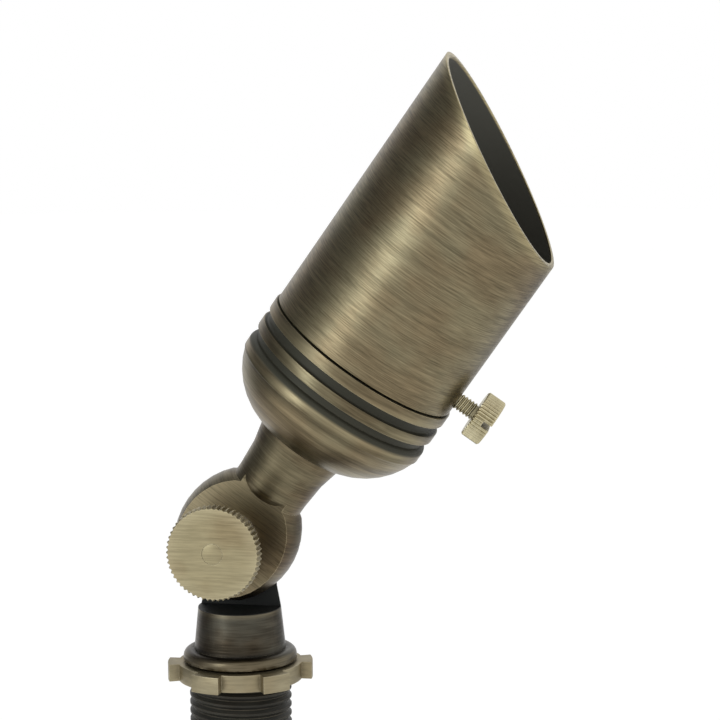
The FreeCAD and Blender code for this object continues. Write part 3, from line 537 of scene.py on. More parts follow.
def make_shroud():
    long_end = CUT_STATION + SHROUD_RADIUS
    mesh = turned((SHROUD_BORE, SHROUD_START), (SHROUD_RADIUS - SHROUD_EDGE, SHROUD_START),
                  (SHROUD_RADIUS, SHROUD_START + SHROUD_EDGE), (SHROUD_RADIUS, long_end),
                  (SHROUD_BORE, long_end), closed=True, steps=SPIN_STEPS)
    mesh = carve(mesh, rod(THUMB_HOLE, 10, 30, THUMB_PLACE, steps=48))
    bmesh.ops.bisect_plane(mesh, geom=mesh.verts[:] + mesh.edges[:] + mesh.faces[:],
                           plane_co=(0, 0, CUT_STATION), plane_no=CUT_NORMAL, clear_outer=True)
    bmesh.ops.bridge_loops(mesh, edges=[edge for edge in mesh.edges if edge.is_boundary])
    return soften(cleaned(mesh), 0.2, above=40, segments=3,
                  where=lambda middle: CUT_NORMAL.dot(middle) > MOUTH - 0.5)


hand_over("glare_shroud", make_shroud(), ON_HEAD, "shroud", shroud_brass, "shroud")

# %% [markdown]
# ## The lamp cup
#
# The cup is one turning: a bowl that meets the neck, a rounded shoulder, and two flat bands
# with a groove under each. The grooves matter more than their size suggests, because their
# dark lines are what the eye reads as machined. They are drawn in the outline and their
# rims are broken by 0.12 mm.

# %% Lamp cup
CUP_RADIUS, CUP_FOOT, CUP_FLOOR, CUP_FLOOR_TOP = 20.95, 9.8, 23.8, 26.4
BOWL_TOP, SHOULDER = 34.1, (35.9, 37.5)
LOWER_BAND, UPPER_BAND = (39.15, 41.3), (43.35, 45.8)
GROOVE_ROOT, GROOVE_FILLET = 19.85, 0.5
CUP_SEAT, CUP_BORE, SLEEVE_BORE, SPIGOT = 39.5, 17.2, 18.95, 6.0


def make_cup():
    rim = UPPER_BAND[1]
    groove_top = LOWER_BAND[1] + GROOVE_FILLET
    fillet = GROOVE_ROOT + GROOVE_FILLET
    return soften(turned(
        (SPIGOT, CUP_FLOOR), (CUP_FOOT, CUP_FLOOR),
        ((CUP_RADIUS - 4.15, 27.65), (CUP_RADIUS - 0.2, BOWL_TOP)),
        (CUP_RADIUS, BOWL_TOP + 0.2), (CUP_RADIUS, SHOULDER[0]),
        quarter((GROOVE_ROOT, SHOULDER[0]), (CUP_RADIUS, SHOULDER[0]), (GROOVE_ROOT, SHOULDER[1])),
        (GROOVE_ROOT, LOWER_BAND[0]), (CUP_RADIUS, LOWER_BAND[0]), (CUP_RADIUS, LOWER_BAND[1]),
        (fillet, LOWER_BAND[1]),
        quarter((fillet, groove_top), (fillet, LOWER_BAND[1]), (GROOVE_ROOT, groove_top)),
        (GROOVE_ROOT, UPPER_BAND[0]), (CUP_RADIUS, UPPER_BAND[0]), (CUP_RADIUS, rim),
        (SLEEVE_BORE, rim), (SLEEVE_BORE, CUP_SEAT), (CUP_BORE, CUP_SEAT), (CUP_BORE, BOWL_TOP),
        ((CUP_RADIUS - 6.05, 29.55), (CUP_FOOT, CUP_FLOOR_TOP)), (SPIGOT, CUP_FLOOR_TOP),
        closed=True, steps=SPIN_STEPS), 0.12)


hand_over("lamp_cup_turned", make_cup(), ON_HEAD, "head", cup_brass, "lamp_cup")

# %% [markdown]
# ## The knuckle
#
# Two half balls sit face to face. Each was turned with its shaft in one piece, then milled:
# the front one has a flat for the knob and an open face behind, the rear one the other
# way round. Booleans on spun blanks follow the same order as the shop did. The neck's
# foot in front ends in a rounded run-out, left by the mill, which is why its highlight
# stops at a sharp line.

# %% Upper half, with the neck
FRONT_FLAT, REAR_FLAT = -6.0, 6.0
FRONT_MATING, REAR_MATING = 0.9, 1.1    # Y of the two faces that turn on each other
CHAMBER_RADIUS, FRONT_CHAMBER, REAR_CHAMBER = 7.0, -3.0, 3.1
NECK_RADIUS, NECK_WAIST, NECK_ARC, NECK_LEDGE = 7.9, 12.9, 38.0, 13.0
SPIGOT_LENGTH, UPPER_PIVOT_HOLE = 6.4, 3.275


def barrel(side_radius=16.0, radius=12.6, reach=13.6):
    """The upper ball's side is flatter than a sphere, and its ends are spheres."""
    inset = side_radius - radius
    across = (side_radius ** 2 + inset ** 2 - reach ** 2) / (2 * inset)
    station = math.sqrt(side_radius ** 2 - across ** 2)
    rim = across - inset
    turn = math.atan2(station, rim) / 2 + math.pi / 4
    cap = (reach * math.cos(turn), reach * math.sin(turn))
    return turned((0, -reach), ((cap[0], -cap[1]), (rim, -station)),
                  ((radius, 0), (rim, station)), (cap, (0, reach)))


def neck_point(station):
    rise = station - NECK_WAIST
    return (NECK_RADIUS + NECK_ARC - math.sqrt(NECK_ARC ** 2 - rise ** 2), station)


def make_upper_half():
    top = CUP_FLOOR + SPIGOT_LENGTH
    neck = turned((0, 10.15), (5.4, 10.15), ((6.95, 11.25), (NECK_RADIUS, NECK_WAIST)),
                  (neck_point((CUP_FLOOR + NECK_WAIST) / 2), neck_point(CUP_FLOOR)),
                  (SPIGOT, CUP_FLOOR), (SPIGOT, top), (0, top))
    behind_the_flat = ((-BIG, FRONT_FLAT, -BIG), (BIG, BIG, BIG))
    shaft = rod(NECK_RADIUS, 0, NECK_WAIST, steps=COARSE_STEPS)
    shaft = carve(shaft, box(*behind_the_flat), operation="INTERSECT")
    ball = carve(barrel(), box(*behind_the_flat), operation="INTERSECT")
    body = carve(carve(ball, shaft, neck, operation="UNION"),
                 box((-BIG, FRONT_MATING, -BIG), (BIG, BIG, NECK_LEDGE)),
                 rod(CHAMBER_RADIUS, -FRONT_MATING, -FRONT_CHAMBER, TO_FRONT),
                 rod(UPPER_PIVOT_HOLE, -13, 13, TO_FRONT, steps=48))
    return soften(body, 0.16, above=35)


# %% [markdown]
# The milled face was brushed brighter, and a painted highlight grows towards its upper left,
# the side the key lamp stands on. The mask is held to a plane 0.03 mm thick and ends where
# the neck begins.

# %% Upper half finish
# The milled face is lifted a little all over, as brushed brighter, and a painted highlight grows
# towards its upper left, where the key lamp is.
def flat_and_painted_highlight(f):
    behind = part_of(f, BACK, FRONT_FLAT + 0.2, FRONT_FLAT + 0.03)
    before = part_of(f, BACK, FRONT_FLAT - 0.2, FRONT_FLAT - 0.03)
    flat = f.times(f.times(behind, before), part_of(f, UP, 12.2, 11.6))
    return f.times(flat, f.line(part_of(f, (-0.8, 0, 0.6), -6, 12), 0.38, 0.16))


KNUCKLE_COLOURS = ((0.124, 0.105, 0.064), (0.12, 0.086, 0.049),
                   (0.4, 0.335, 0.21), (0.03, 0.031, 0.027))
upper_brass = brushed_brass(
    "upper_knuckle_brass", HEAD_PLACE, KNUCKLE_COLOURS, strokes=(170, 170, 3600),
    bands=(60, 60, 800), contrast=0.5, banding=0.4, patches=0.5, hollow=0.0045,
    lighter=flat_and_painted_highlight)
hand_over("knuckle_upper_half", make_upper_half(), ON_HEAD, "head",
          upper_brass, "upper_knuckle")

# %% [markdown]
# ## The stem and its thread
#
# The rear half runs down into a straight waist, a ledge, a cone, a rounded collar and a
# pipe thread. The thread is a real helix. The spin operator makes one when it is given a
# step of rise with each step of turn, so a single ridge outline is all that is drawn.

# %% Lower half, with the stem
REAR_BALL_RADIUS, PIVOT_HOLE = 12.2, 3.225
WAIST_RADIUS, WAIST, ROOT_RADIUS = 7.75, -11.0, 4.0
LEDGE_RADIUS, LEDGE, CONE_RADIUS, CONE_FOOT = 8.5, -15.1, 9.4, -23.7
COLLAR_RADIUS, COLLAR_ROUND, COLLAR_EDGE, COLLAR_BOTTOM = 11.65, 1.5, 0.45, -26.4
THREAD_CREST, THREAD_DEPTH, THREAD_PITCH = 10.478, 0.62, 1.814
THREAD_TOP, STEM_END = COLLAR_BOTTOM - 1.2, COLLAR_BOTTOM - 25.4
STEM_BORE, STEM_BORE_TOP = 6.5, -20.0


def helix(crest, depth, pitch, top, bottom, steps=72):
    """One ridge, swept down a screw line."""
    flank = 0.4 * pitch
    turns = int((top - bottom) / pitch - 1)
    inner = crest - depth - 0.05
    ridge = draw((inner, top), (crest, top - flank), (crest, top - pitch + flank),
                 (inner, top - pitch), closed=True)
    face = bmesh.ops.contextual_create(ridge, geom=ridge.edges[:])["faces"]
    bmesh.ops.spin(ridge, geom=face + ridge.edges[:] + ridge.verts[:], cent=(0, 0, 0),
                   axis=(0, 0, 1), dvec=(0, 0, -pitch / steps), angle=2 * math.pi * turns,
                   steps=steps * turns)
    return cleaned(ridge)


def joined(*meshes):
    """Several skins as one mesh, without cutting them."""
    whole = bmesh.new()
    for mesh in meshes:
        data = as_data("part", mesh)
        whole.from_mesh(data)
        bpy.data.meshes.remove(data)
    return whole


def turned_stem():
    core = THREAD_CREST - THREAD_DEPTH
    root = WAIST + WAIST_RADIUS - ROOT_RADIUS
    roll = COLLAR_RADIUS - COLLAR_ROUND
    roll_end = CONE_FOOT - COLLAR_ROUND
    return turned(
        (0, root), (ROOT_RADIUS, root),
        quarter((ROOT_RADIUS, WAIST), (ROOT_RADIUS, root), (WAIST_RADIUS, WAIST)),
        (LEDGE_RADIUS, LEDGE), (CONE_RADIUS, CONE_FOOT), (roll, CONE_FOOT),
        quarter((roll, roll_end), (roll, CONE_FOOT), (COLLAR_RADIUS, roll_end)),
        (COLLAR_RADIUS, COLLAR_BOTTOM + COLLAR_EDGE), (COLLAR_RADIUS - COLLAR_EDGE, COLLAR_BOTTOM),
        (core, COLLAR_BOTTOM), (core, STEM_END), (STEM_BORE, STEM_END),
        (STEM_BORE, STEM_BORE_TOP), (0, STEM_BORE_TOP))


def make_lower_half():
    sphere = bmesh.new()
    bmesh.ops.create_uvsphere(sphere, u_segments=COARSE_STEPS, v_segments=COARSE_STEPS // 2,
                              radius=REAR_BALL_RADIUS)
    ball = carve(sphere, box((-BIG, -BIG, -BIG), (BIG, REAR_FLAT, BIG)), operation="INTERSECT")
    body = carve(carve(ball, turned_stem(), operation="UNION"),
                 box((-BIG, -BIG, LEDGE), (BIG, REAR_MATING, BIG)),
                 rod(CHAMBER_RADIUS, -REAR_CHAMBER, -REAR_MATING, TO_FRONT),
                 rod(PIVOT_HOLE, -13, 13, TO_FRONT, steps=48))
    soften(body, 0.16, above=35)
    return joined(body, helix(THREAD_CREST, THREAD_DEPTH, THREAD_PITCH, THREAD_TOP, STEM_END))


# %% [markdown]
# The lower half is the darkest piece. The sawn face and the shelf in front of it sit in the
# gap under the ball and are painted near-black as shade; the thread is painted darker too.
# The collar's roll and the cone's rim get a painted highlight in bare brass, which also
# stands for rubbing.

# %% Lower half finish
# Painted shade: near-black on the face and shelf in the gap under the ball, and a darker thread
# below the collar.
def shade_in_the_gap_and_dark_thread(f):
    sawn = f.times(part_of(f, BACK, 1.5, 1.2), part_of(f, UP, -15.3, -15.12))
    return f.larger(sawn, f.times(part_of(f, UP, -26.3, -26.6), 0.72))


# Painted highlight, standing also for rubbing: bare brass on the collar's roll and the cone's rim.
def roll_highlight_and_wear(f):
    roll = f.times(radius_past(f, 11.0, 11.4), part_of(f, UP, -26.2, -25.6))
    rim = f.times(part_of(f, UP, -16.4, -15.2), part_of(f, BACK, 2.0, 0.5))
    return f.times(f.larger(roll, rim), 0.3)


STEM_COLOURS = ((0.056, 0.052, 0.04), (0.068, 0.053, 0.035),
                (0.32, 0.265, 0.165), (0.018, 0.019, 0.018))
stem_brass = brushed_brass(
    "stem_brass", STEM_PLACE, STEM_COLOURS, strokes=(150, 150, 3000), bands=(90, 90, 420),
    contrast=0.45, banding=0.4, patches=0.6, lighter=roll_highlight_and_wear, darker=shade_in_the_gap_and_dark_thread)
hand_over("knuckle_lower_half", make_lower_half(), ON_STEM, "stem",
          stem_brass, "lower_knuckle")

# %% [markdown]
# ## The knob and its screw
#
# The knob is a flat disc of plain brass. Its rim has straight knurling, pressed in by a
# wheel, so the ridges are rounded and all alike. Rather than drawing every tooth, the disc is
# spun with six steps per tooth, and its rim is then drawn in and out with a cosine.

# %% Knob
STEPS_PER_TOOTH = 6
KNOB_BACK, KNOB_FRONT, KNOB_RADIUS, KNOB_EDGE, KNOB_TEETH = 17.4, 20.4, 9.5, 0.35, 56
RIVET_RADIUS, SHANK_RADIUS, SCREW_COLLAR, SCREW_COLLAR_BACK = 2.1, 3.175, 5.0, 6.7


def knurl(mesh, radius, teeth, depth, span):
    """Draws the rim in and out. The wave fades over the span below the rim."""
    for vertex in mesh.verts:
        reach = vertex.co.xy.length
        if reach > radius - span:
            wave = 0.5 - 0.5 * math.cos(teeth * math.atan2(vertex.co.y, vertex.co.x))
            share = (reach - radius + span) / span
            vertex.co.xy *= 1 - depth * wave * share / reach
    return mesh


def make_knob():
    face = KNOB_RADIUS - KNOB_EDGE
    disc = turned((RIVET_RADIUS, KNOB_BACK), (face, KNOB_BACK),
                  (KNOB_RADIUS, KNOB_BACK + KNOB_EDGE), (KNOB_RADIUS, KNOB_FRONT - KNOB_EDGE),
                  (face, KNOB_FRONT), (RIVET_RADIUS, KNOB_FRONT), closed=True,
                  steps=KNOB_TEETH * STEPS_PER_TOOTH)
    soften(disc, 0.09, above=50, where=lambda middle: middle.xy.length < RIVET_RADIUS + 1)
    return knurl(disc, KNOB_RADIUS, KNOB_TEETH, depth=0.4, span=0.6)


def make_pivot_screw():
    return soften(turned(
        (0, -REAR_FLAT), (SHANK_RADIUS, -REAR_FLAT), (SHANK_RADIUS, SCREW_COLLAR_BACK),
        (SCREW_COLLAR, SCREW_COLLAR_BACK), (SCREW_COLLAR, KNOB_BACK), (RIVET_RADIUS, KNOB_BACK),
        (RIVET_RADIUS, KNOB_FRONT), (0, KNOB_FRONT), steps=128), 0.12)


def round_the_rim(f):
    """Fingers keep the outer part of the face brighter than its middle."""
    return f.times(f.within(f.size(f.spot, (1, 0, 1)), 6.0 * MM, 9.5 * MM), 0.34)


KNOB_COLOURS = ((0.272, 0.234, 0.14), (0.278, 0.224, 0.128),
                (0.5, 0.44, 0.29), (0.06, 0.055, 0.04))
knob_brass = brushed_brass(
    "knob_brass", STEM_PLACE, KNOB_COLOURS, strokes=(170, 170, 3400), bands=(90, 90, 800),
    contrast=0.24, banding=0.12, patches=0.22, roughness=0.46, lighter=round_the_rim)
for name, make, node in (("tilt_knob", make_knob, "pivot_knob"),
                         ("tilt_screw", make_pivot_screw, "pivot_screw")):
    hand_over(name, make(), FACING_FRONT, "knob", knob_brass, node)

# %% [markdown]
# ## The locknut
#
# A flat ring with six square lugs that fingers can turn. The ring is spun in half-degree
# steps. The outer faces inside each lug's angle are extruded and scaled outwards, which
# keeps the lug's crown round.

# %% Locknut
NUT_TOP, NUT_BOTTOM, NUT_BORE, NUT_RADIUS = -26.5, -30.05, 10.53, 12.8
LUG_RADIUS, LUGS, LUG_ANGLE, FIRST_LUG = 14.9, 6, 24.5, 44.9 - 90


def on_a_lug(face):
    middle = face.calc_center_median()
    away = (math.degrees(math.atan2(middle.y, middle.x)) + LUG_ANGLE / 2) % (360 / LUGS)
    return middle.xy.length > NUT_RADIUS - 0.1 and away < LUG_ANGLE


def make_locknut():
    ring = turned((NUT_BORE, NUT_BOTTOM), (NUT_RADIUS, NUT_BOTTOM), (NUT_RADIUS, NUT_TOP),
                  (NUT_BORE, NUT_TOP), closed=True, steps=720)
    faces = [face for face in ring.faces if on_a_lug(face)]
    crowns = moved_out(bmesh.ops.extrude_face_region(ring, geom=faces))
    out = LUG_RADIUS / NUT_RADIUS
    bmesh.ops.scale(ring, vec=(out, out, 1), verts=crowns)
    bmesh.ops.delete(ring, geom=faces, context="FACES")
    soften(cleaned(ring), 0.22, above=40)
    ring.transform(Matrix.Rotation(math.radians(FIRST_LUG), 4, "Z"))
    return ring


NUT_COLOURS = ((0.292, 0.256, 0.168), (0.295, 0.245, 0.15),
               (0.52, 0.46, 0.32), (0.05, 0.045, 0.035))
nut_brass = brushed_brass(
    "nut_brass", STEM_PLACE, NUT_COLOURS, strokes=(240, 240, 1700), bands=(90, 90, 500),
    contrast=0.16, banding=0.14, patina=0.35, roughness=0.48)
hand_over("lug_locknut", make_locknut(), ON_STEM, "locknut", nut_brass, "locknut")

# %% [markdown]
# ## The thumb screw
#
# A small knurled screw pinches the shroud on its sleeve. The shank has the same helix as the
# stem, only finer, and the head has a driver slot, cut with a block.

# %% Thumb screw
THUMB_TIP, THUMB_UNDER, THUMB_END = 19.6, 24.8, 28.9
THUMB_RADIUS, THUMB_EDGE, THUMB_TEETH = 5.05, 0.3, 42
THUMB_CREST, THUMB_DEPTH, THUMB_PITCH = 1.75, 0.32, 0.74
SLOT_HALF_WIDTH, SLOT_DEPTH = 0.6, 1.9


def make_thumb_screw():
    face, core_radius, overlap = THUMB_RADIUS - THUMB_EDGE, THUMB_CREST - THUMB_DEPTH, 0.4
    head = turned(
        (0, THUMB_UNDER), (face, THUMB_UNDER), (THUMB_RADIUS, THUMB_UNDER + THUMB_EDGE),
        (THUMB_RADIUS, THUMB_END - THUMB_EDGE), (face, THUMB_END), (0, THUMB_END),
        steps=THUMB_TEETH * STEPS_PER_TOOTH)
    knurl(head, THUMB_RADIUS, THUMB_TEETH, depth=0.3, span=0.5)
    head = carve(head, box((-SLOT_HALF_WIDTH, -BIG, THUMB_END - SLOT_DEPTH),
                           (SLOT_HALF_WIDTH, BIG, THUMB_END + 5)))
    soften(head, 0.08, above=60, segments=1,
           where=lambda middle: abs(middle.x) < SLOT_HALF_WIDTH + 0.01)
    core = turned((0, THUMB_TIP), (core_radius - 0.3, THUMB_TIP), (core_radius, THUMB_TIP + 0.3),
                  (core_radius, THUMB_UNDER + overlap), (0, THUMB_UNDER + overlap), steps=48)
    thread = helix(THUMB_CREST, THUMB_DEPTH, THUMB_PITCH, THUMB_UNDER, THUMB_TIP, steps=36)
    return joined(head, core, thread)


THUMB_COLOURS = ((0.44, 0.395, 0.25), (0.45, 0.38, 0.225),
                 (0.68, 0.62, 0.44), (0.12, 0.105, 0.07))
thumb_brass = brushed_brass(
    "thumb_brass", HEAD_PLACE, THUMB_COLOURS, strokes=(2600, 260, 260), bands=(700, 120, 120),
    contrast=0.2, banding=0.18, patina=0.45, roughness=0.33)
hand_over("shroud_lock_screw", make_thumb_screw(), ON_HEAD @ THUMB_PLACE, "thumb_screw",
          thumb_brass, "shroud_thumb_screw")

# %% [markdown]
# ## The ground spike
#
# The spike is moulded in black plastic: a hub with the pipe thread, a flange that stops at
# the soil, a short core, and four fins that taper to a point. Moulded edges are never quite
# sharp, because the mould's own cutter has a radius, so every rim gets a wider rounding than
# on the brass.

# %% Spike
FLANGE_RADIUS, FLANGE_TOP, HUB_FOOT, HUB_RADIUS, HUB_EDGE, HUB_TOP = 22, 3, 16.5, 15.5, 1.2, 22.4
CORE_RADIUS, CORE_DEPTH, CORE_TIP_RADIUS, CORE_TIP_DEPTH = 12.5, 17, 3.2, 48
FIN_HALF_WIDTH, FIN_THICKNESS, FIN_TAPER = 17, 3.2, (3.4, 152)
SPIKE_DEPTH, HUB_THREAD_END = 168, 12.6
CABLE_ROOM, CABLE_ROOM_DEPTH, CABLE_SLOT = 9.0, 12, ((-4.5, 0, -9), (4.5, BIG, 10))


def blade(turn):
    """A flat fin through the axis: five corners, one face, one extrusion."""
    fin = bmesh.new()
    width, depth = FIN_TAPER
    outline = ((-FIN_HALF_WIDTH, 0), (FIN_HALF_WIDTH, 0), (width, -depth), (0, -SPIKE_DEPTH),
               (-width, -depth))
    corners = [fin.verts.new((x, -FIN_THICKNESS / 2, z)) for x, z in outline]
    face = bmesh.ops.contextual_create(fin, geom=corners)["faces"]
    side = moved_out(bmesh.ops.extrude_face_region(fin, geom=face))
    bmesh.ops.translate(fin, vec=(0, FIN_THICKNESS, 0), verts=side)
    fin.transform(Matrix.Rotation(math.radians(turn), 4, "Z"))
    return cleaned(fin)


def make_spike():
    body = turned(
        (0, -CORE_TIP_DEPTH), (CORE_TIP_RADIUS, -CORE_TIP_DEPTH), (CORE_RADIUS, -CORE_DEPTH),
        (CORE_RADIUS, 0), (FLANGE_RADIUS, 0), (FLANGE_RADIUS, FLANGE_TOP), (HUB_FOOT, FLANGE_TOP),
        (HUB_RADIUS, HUB_TOP - HUB_EDGE), (HUB_RADIUS - HUB_EDGE, HUB_TOP), (0, HUB_TOP),
        steps=144)
    body = carve(body, blade(45), blade(135), operation="UNION")
    body = carve(body, rod(NUT_BORE, HUB_THREAD_END, 30, steps=144),
                 rod(CABLE_ROOM, -CABLE_ROOM_DEPTH, 20, steps=144), box(*CABLE_SLOT))
    return soften(body, 0.35, above=30)


# %% [markdown]
# Moulded plastic is dark but not black. What shows on it is a faint leathery grain from the
# eroded mould, and a slight cloudiness of gloss and tone.

# %% Spike finish
def spike_finish():
    f = Finish("moulded_black")
    grain = f.noise(1900, detail=2.0)
    cloud = f.noise(45)
    colour = f.mix(f.within(cloud, 0.3, 0.7), rgb(0.016, 0.017, 0.018), rgb(0.026, 0.026, 0.026))
    return f.shade(Base_Color=colour, Roughness=f.line(cloud, 0.2, 0.42),
                   Normal=f.bump(grain, 0.00006, 0.6))


hand_over("moulded_spike", make_spike(), Matrix.Scale(MM, 4), "spike",
          spike_finish(), "ground_spike")

# %% [markdown]
# ## Lens, ring and lamp
#
# Looking into the mouth, one sees a screwed ring with two notches for a spanner, a clear
# lens, and behind it the lamp: a faceted mirror bowl with a quartz burner. All but the ring
# are plain turnings. The facets are a matter of light, so they are left to the finish.

# %% Ring, lens and sleeve
SLEEVE_OUT, SLEEVE_IN, SLEEVE_END, LENS_STEP = 19.5, 17.9, 76.8, 70.5
LENS_RADIUS, LENS_SEAT, LENS_BACK, LENS_FRONT = 18.55, 18.65, 71.3, 74.3
RING_BORE, RING_END, RING_NOTCH = 16.95, 76.5, ((-BIG, -0.8, 75.4), (BIG, 0.8, 80))
O_RING_GROOVE, O_RING_FLOOR = (64.6, 65.8), 18.66


def make_lens_ring():
    ring = turned((RING_BORE, LENS_FRONT), (LENS_SEAT, LENS_FRONT), (LENS_SEAT, RING_END),
                  (RING_BORE, RING_END), closed=True)
    return soften(carve(ring, box(*RING_NOTCH)), 0.12, above=35)


def make_sleeve():
    low, high = O_RING_GROOVE
    return soften(turned(
        (SLEEVE_IN, 40.4), (18.9, 40.4), (18.9, 45.9), (SLEEVE_OUT, 45.9), (SLEEVE_OUT, low),
        (O_RING_FLOOR, low), (O_RING_FLOOR, high), (SLEEVE_OUT, high), (SLEEVE_OUT, SLEEVE_END),
        (LENS_SEAT, SLEEVE_END), (LENS_SEAT, LENS_STEP), (SLEEVE_IN, LENS_STEP), closed=True), 0.1)


def make_lens():
    return soften(turned((0, LENS_BACK), (LENS_RADIUS, LENS_BACK), (LENS_RADIUS, LENS_FRONT),
                         (0, LENS_FRONT)), 0.2)


# %% [markdown]
# The lamp is a mirror bowl of pressed glass with the burner in its neck. Two arcs, one
# inside the other, give it an even wall.

# %% Lamp
LAMP_NECK_BOTTOM, LAMP_NECK_RADIUS, BURNER_GAP_RADIUS = 48.6, 6.6, 3.4
BOWL_RIM, BOWL_RIM_TOP, GLASS_SEAT = 66.0, 68.4, 67.0
RIM_RADIUS, GLASS_RADIUS, BOWL_OUT, BOWL_IN = 17.65, 16.55, 16.75, 15.65
BURNER_RADIUS, BURNER_TOP = 3.0, 56.6


def make_reflector():
    return soften(turned(
        (BURNER_GAP_RADIUS, LAMP_NECK_BOTTOM), (LAMP_NECK_RADIUS, LAMP_NECK_BOTTOM),
        ((13.735, 56.854), (BOWL_OUT, BOWL_RIM)), (RIM_RADIUS, BOWL_RIM),
        (RIM_RADIUS, BOWL_RIM_TOP), (GLASS_RADIUS, BOWL_RIM_TOP), (GLASS_RADIUS, GLASS_SEAT),
        (BOWL_IN, GLASS_SEAT),
        ((12.635, 57.404), (BURNER_GAP_RADIUS, LAMP_NECK_BOTTOM + 1.1)), closed=True), 0.1)


def make_burner():
    side, tip = (BURNER_RADIUS, BURNER_TOP), (0, BURNER_TOP + BURNER_RADIUS)
    return turned((0, LAMP_NECK_BOTTOM), (BURNER_RADIUS, LAMP_NECK_BOTTOM), side,
                  quarter((0, BURNER_TOP), side, tip), steps=64)


# %% [markdown]
# Glass needs three things here: a slight tint at most, a smooth surface, and something
# behind it to reflect. The mirror bowl gets its facets from cells of a Voronoi pattern that
# tip the normal, which throws back broken patches as the pressed glass does.

# %% Glass and mirror finishes
def glass_finish(name, tint, haze):
    f = Finish(name, **HEAD_PLACE)
    dust = f.noise(160, detail=4.0)
    colour = f.mix(f.within(dust, 0.35, 0.75), rgb(1, 1, 1), tint)
    dull = f.times(f.within(dust, 0.45, 0.8), haze)
    return f.shade(Base_Color=colour, Roughness=dull, IOR=1.5, Transmission_Weight=1.0)


def mirror_finish():
    f = Finish("mirror_bowl", **HEAD_PLACE)
    cells = f.node("TexVoronoi", {"Vector": f.spot, "Scale": 420.0}, feature="F1")
    cloud = f.noise(90)
    colour = f.mix(cloud, rgb(0.78, 0.79, 0.8), rgb(0.86, 0.85, 0.83))
    return f.shade(Base_Color=colour, Metallic=1.0, Roughness=f.times(cloud, 0.16),
                   Normal=f.bump(cells.outputs["Distance"], 0.0005, 0.35))


clear_glass = glass_finish("clear_glass", rgb(0.93, 0.97, 0.95), haze=0.08)
quartz_glass = glass_finish("quartz_glass", rgb(0.9, 0.9, 0.92), haze=0.25)
for name, make, body, slot, finish, node in (
        ("lens_clamp_ring", make_lens_ring, "sleeve", "antique_brass", head_brass, "lens_ring"),
        ("inner_sleeve", make_sleeve, "sleeve", "antique_brass", head_brass, "lamp_sleeve"),
        ("clear_lens", make_lens, "sleeve", "glass", clear_glass, "front_lens"),
        ("mirror_bowl", make_reflector, "head", "reflector", mirror_finish(), "lamp_reflector"),
        ("quartz_burner", make_burner, "head", "quartz", quartz_glass, "lamp_capsule")):
    hand_over(name, make(), ON_HEAD, body, finish, node)

# %% [markdown]
# ## Small parts that stay as they are
#
# Screws, contacts, leads and seals inside the head already have the right shape in the CAD
# model, so they only get a finish. Every one is the same small recipe with other numbers:
# clouds for colour, a finer grain for gloss and relief.

# %% Finishes of the small parts
def plain_finish(name, one, other, metallic, roughness, grain, relief):
    """The grain is in grains per metre, and the relief in metres."""
    f = Finish(name, **HEAD_PLACE)
    fine = f.noise(grain)
    cloud = f.noise(140)
    return f.shade(Base_Color=f.mix(f.within(cloud, 0.35, 0.65), rgb(*one), rgb(*other)),
                   Metallic=metallic, Roughness=f.line(fine, 0.2, roughness - 0.1),
                   Normal=f.bump(fine, relief, 0.6))


SMALL_FINISHES = {
    "seal_rubber": ((0.014, 0.014, 0.014), (0.022, 0.022, 0.021), 0.0, 0.62, 2600, 0.00004),
    "fired_ceramic": ((0.72, 0.69, 0.62), (0.78, 0.76, 0.7), 0.0, 0.5, 3200, 0.00003),
    "spring_steel": ((0.5, 0.5, 0.51), (0.58, 0.58, 0.58), 1.0, 0.32, 2400, 0.00001),
    "turned_brass": ((0.62, 0.5, 0.26), (0.68, 0.55, 0.3), 1.0, 0.34, 2400, 0.00001),
    "lead_sleeve": ((0.74, 0.72, 0.66), (0.8, 0.78, 0.73), 0.0, 0.58, 3800, 0.00004),
    "tinned_copper": ((0.6, 0.6, 0.59), (0.68, 0.67, 0.65), 1.0, 0.38, 2400, 0.00001),
}
SMALL_PARTS = {
    "seal_rubber": ("knuckle_seal", "cable_grommet", "shroud_o_ring", "lens_gasket"),
    "fired_ceramic": ("lamp_socket", "lamp_foot"),
    "spring_steel": ("socket_plate", "socket_screws", "pivot_washer"),
    "turned_brass": ("neck_washer", "neck_nut", "socket_contacts"),
    "lead_sleeve": ("socket_leads",),
    "tinned_copper": ("crimp_splices", "lamp_pins"),
    "clear_glass": ("lamp_glass",),
}
finishes = {name: plain_finish(name, *numbers) for name, numbers in SMALL_FINISHES.items()}
finishes["clear_glass"] = clear_glass
for finish, nodes in SMALL_PARTS.items():
    for node in nodes:
        for place in frame["nodes"][node].material_slots:
            place.material = finishes[finish]
print("small parts finished:", sum(len(nodes) for nodes in SMALL_PARTS.values()))

# %% [markdown]
# ## The studio
#
# Metal shows its room more than its colour. The room is white all round, as in a
# product tent. The floor looks white, yet it still takes the shadow.

# %% Room and floor
ROOM_LEVEL = 0.8                        # light that the white room throws on the part
FLOOR_LIFT = 0.32                       # added where the camera or a mirror sees the floor


def white_room():
    world = bpy.data.worlds.new("room")
    bpy.context.scene.world = world
    world.use_nodes = True
    room = Wiring(world.node_tree)
    sky = room.tree.nodes["Background"].inputs
    path = room.node("LightPath").outputs
    seen = room.larger(path["Is Camera Ray"], path["Is Glossy Ray"])
    seen = room.larger(seen, path["Is Transmission Ray"])
    strength = room.node("MapRange", {"Value": seen, "To Min": ROOM_LEVEL})
    room.put(sky["Strength"], strength.outputs["Result"])
    room.put(sky["Color"], rgb(1, 1, 1))


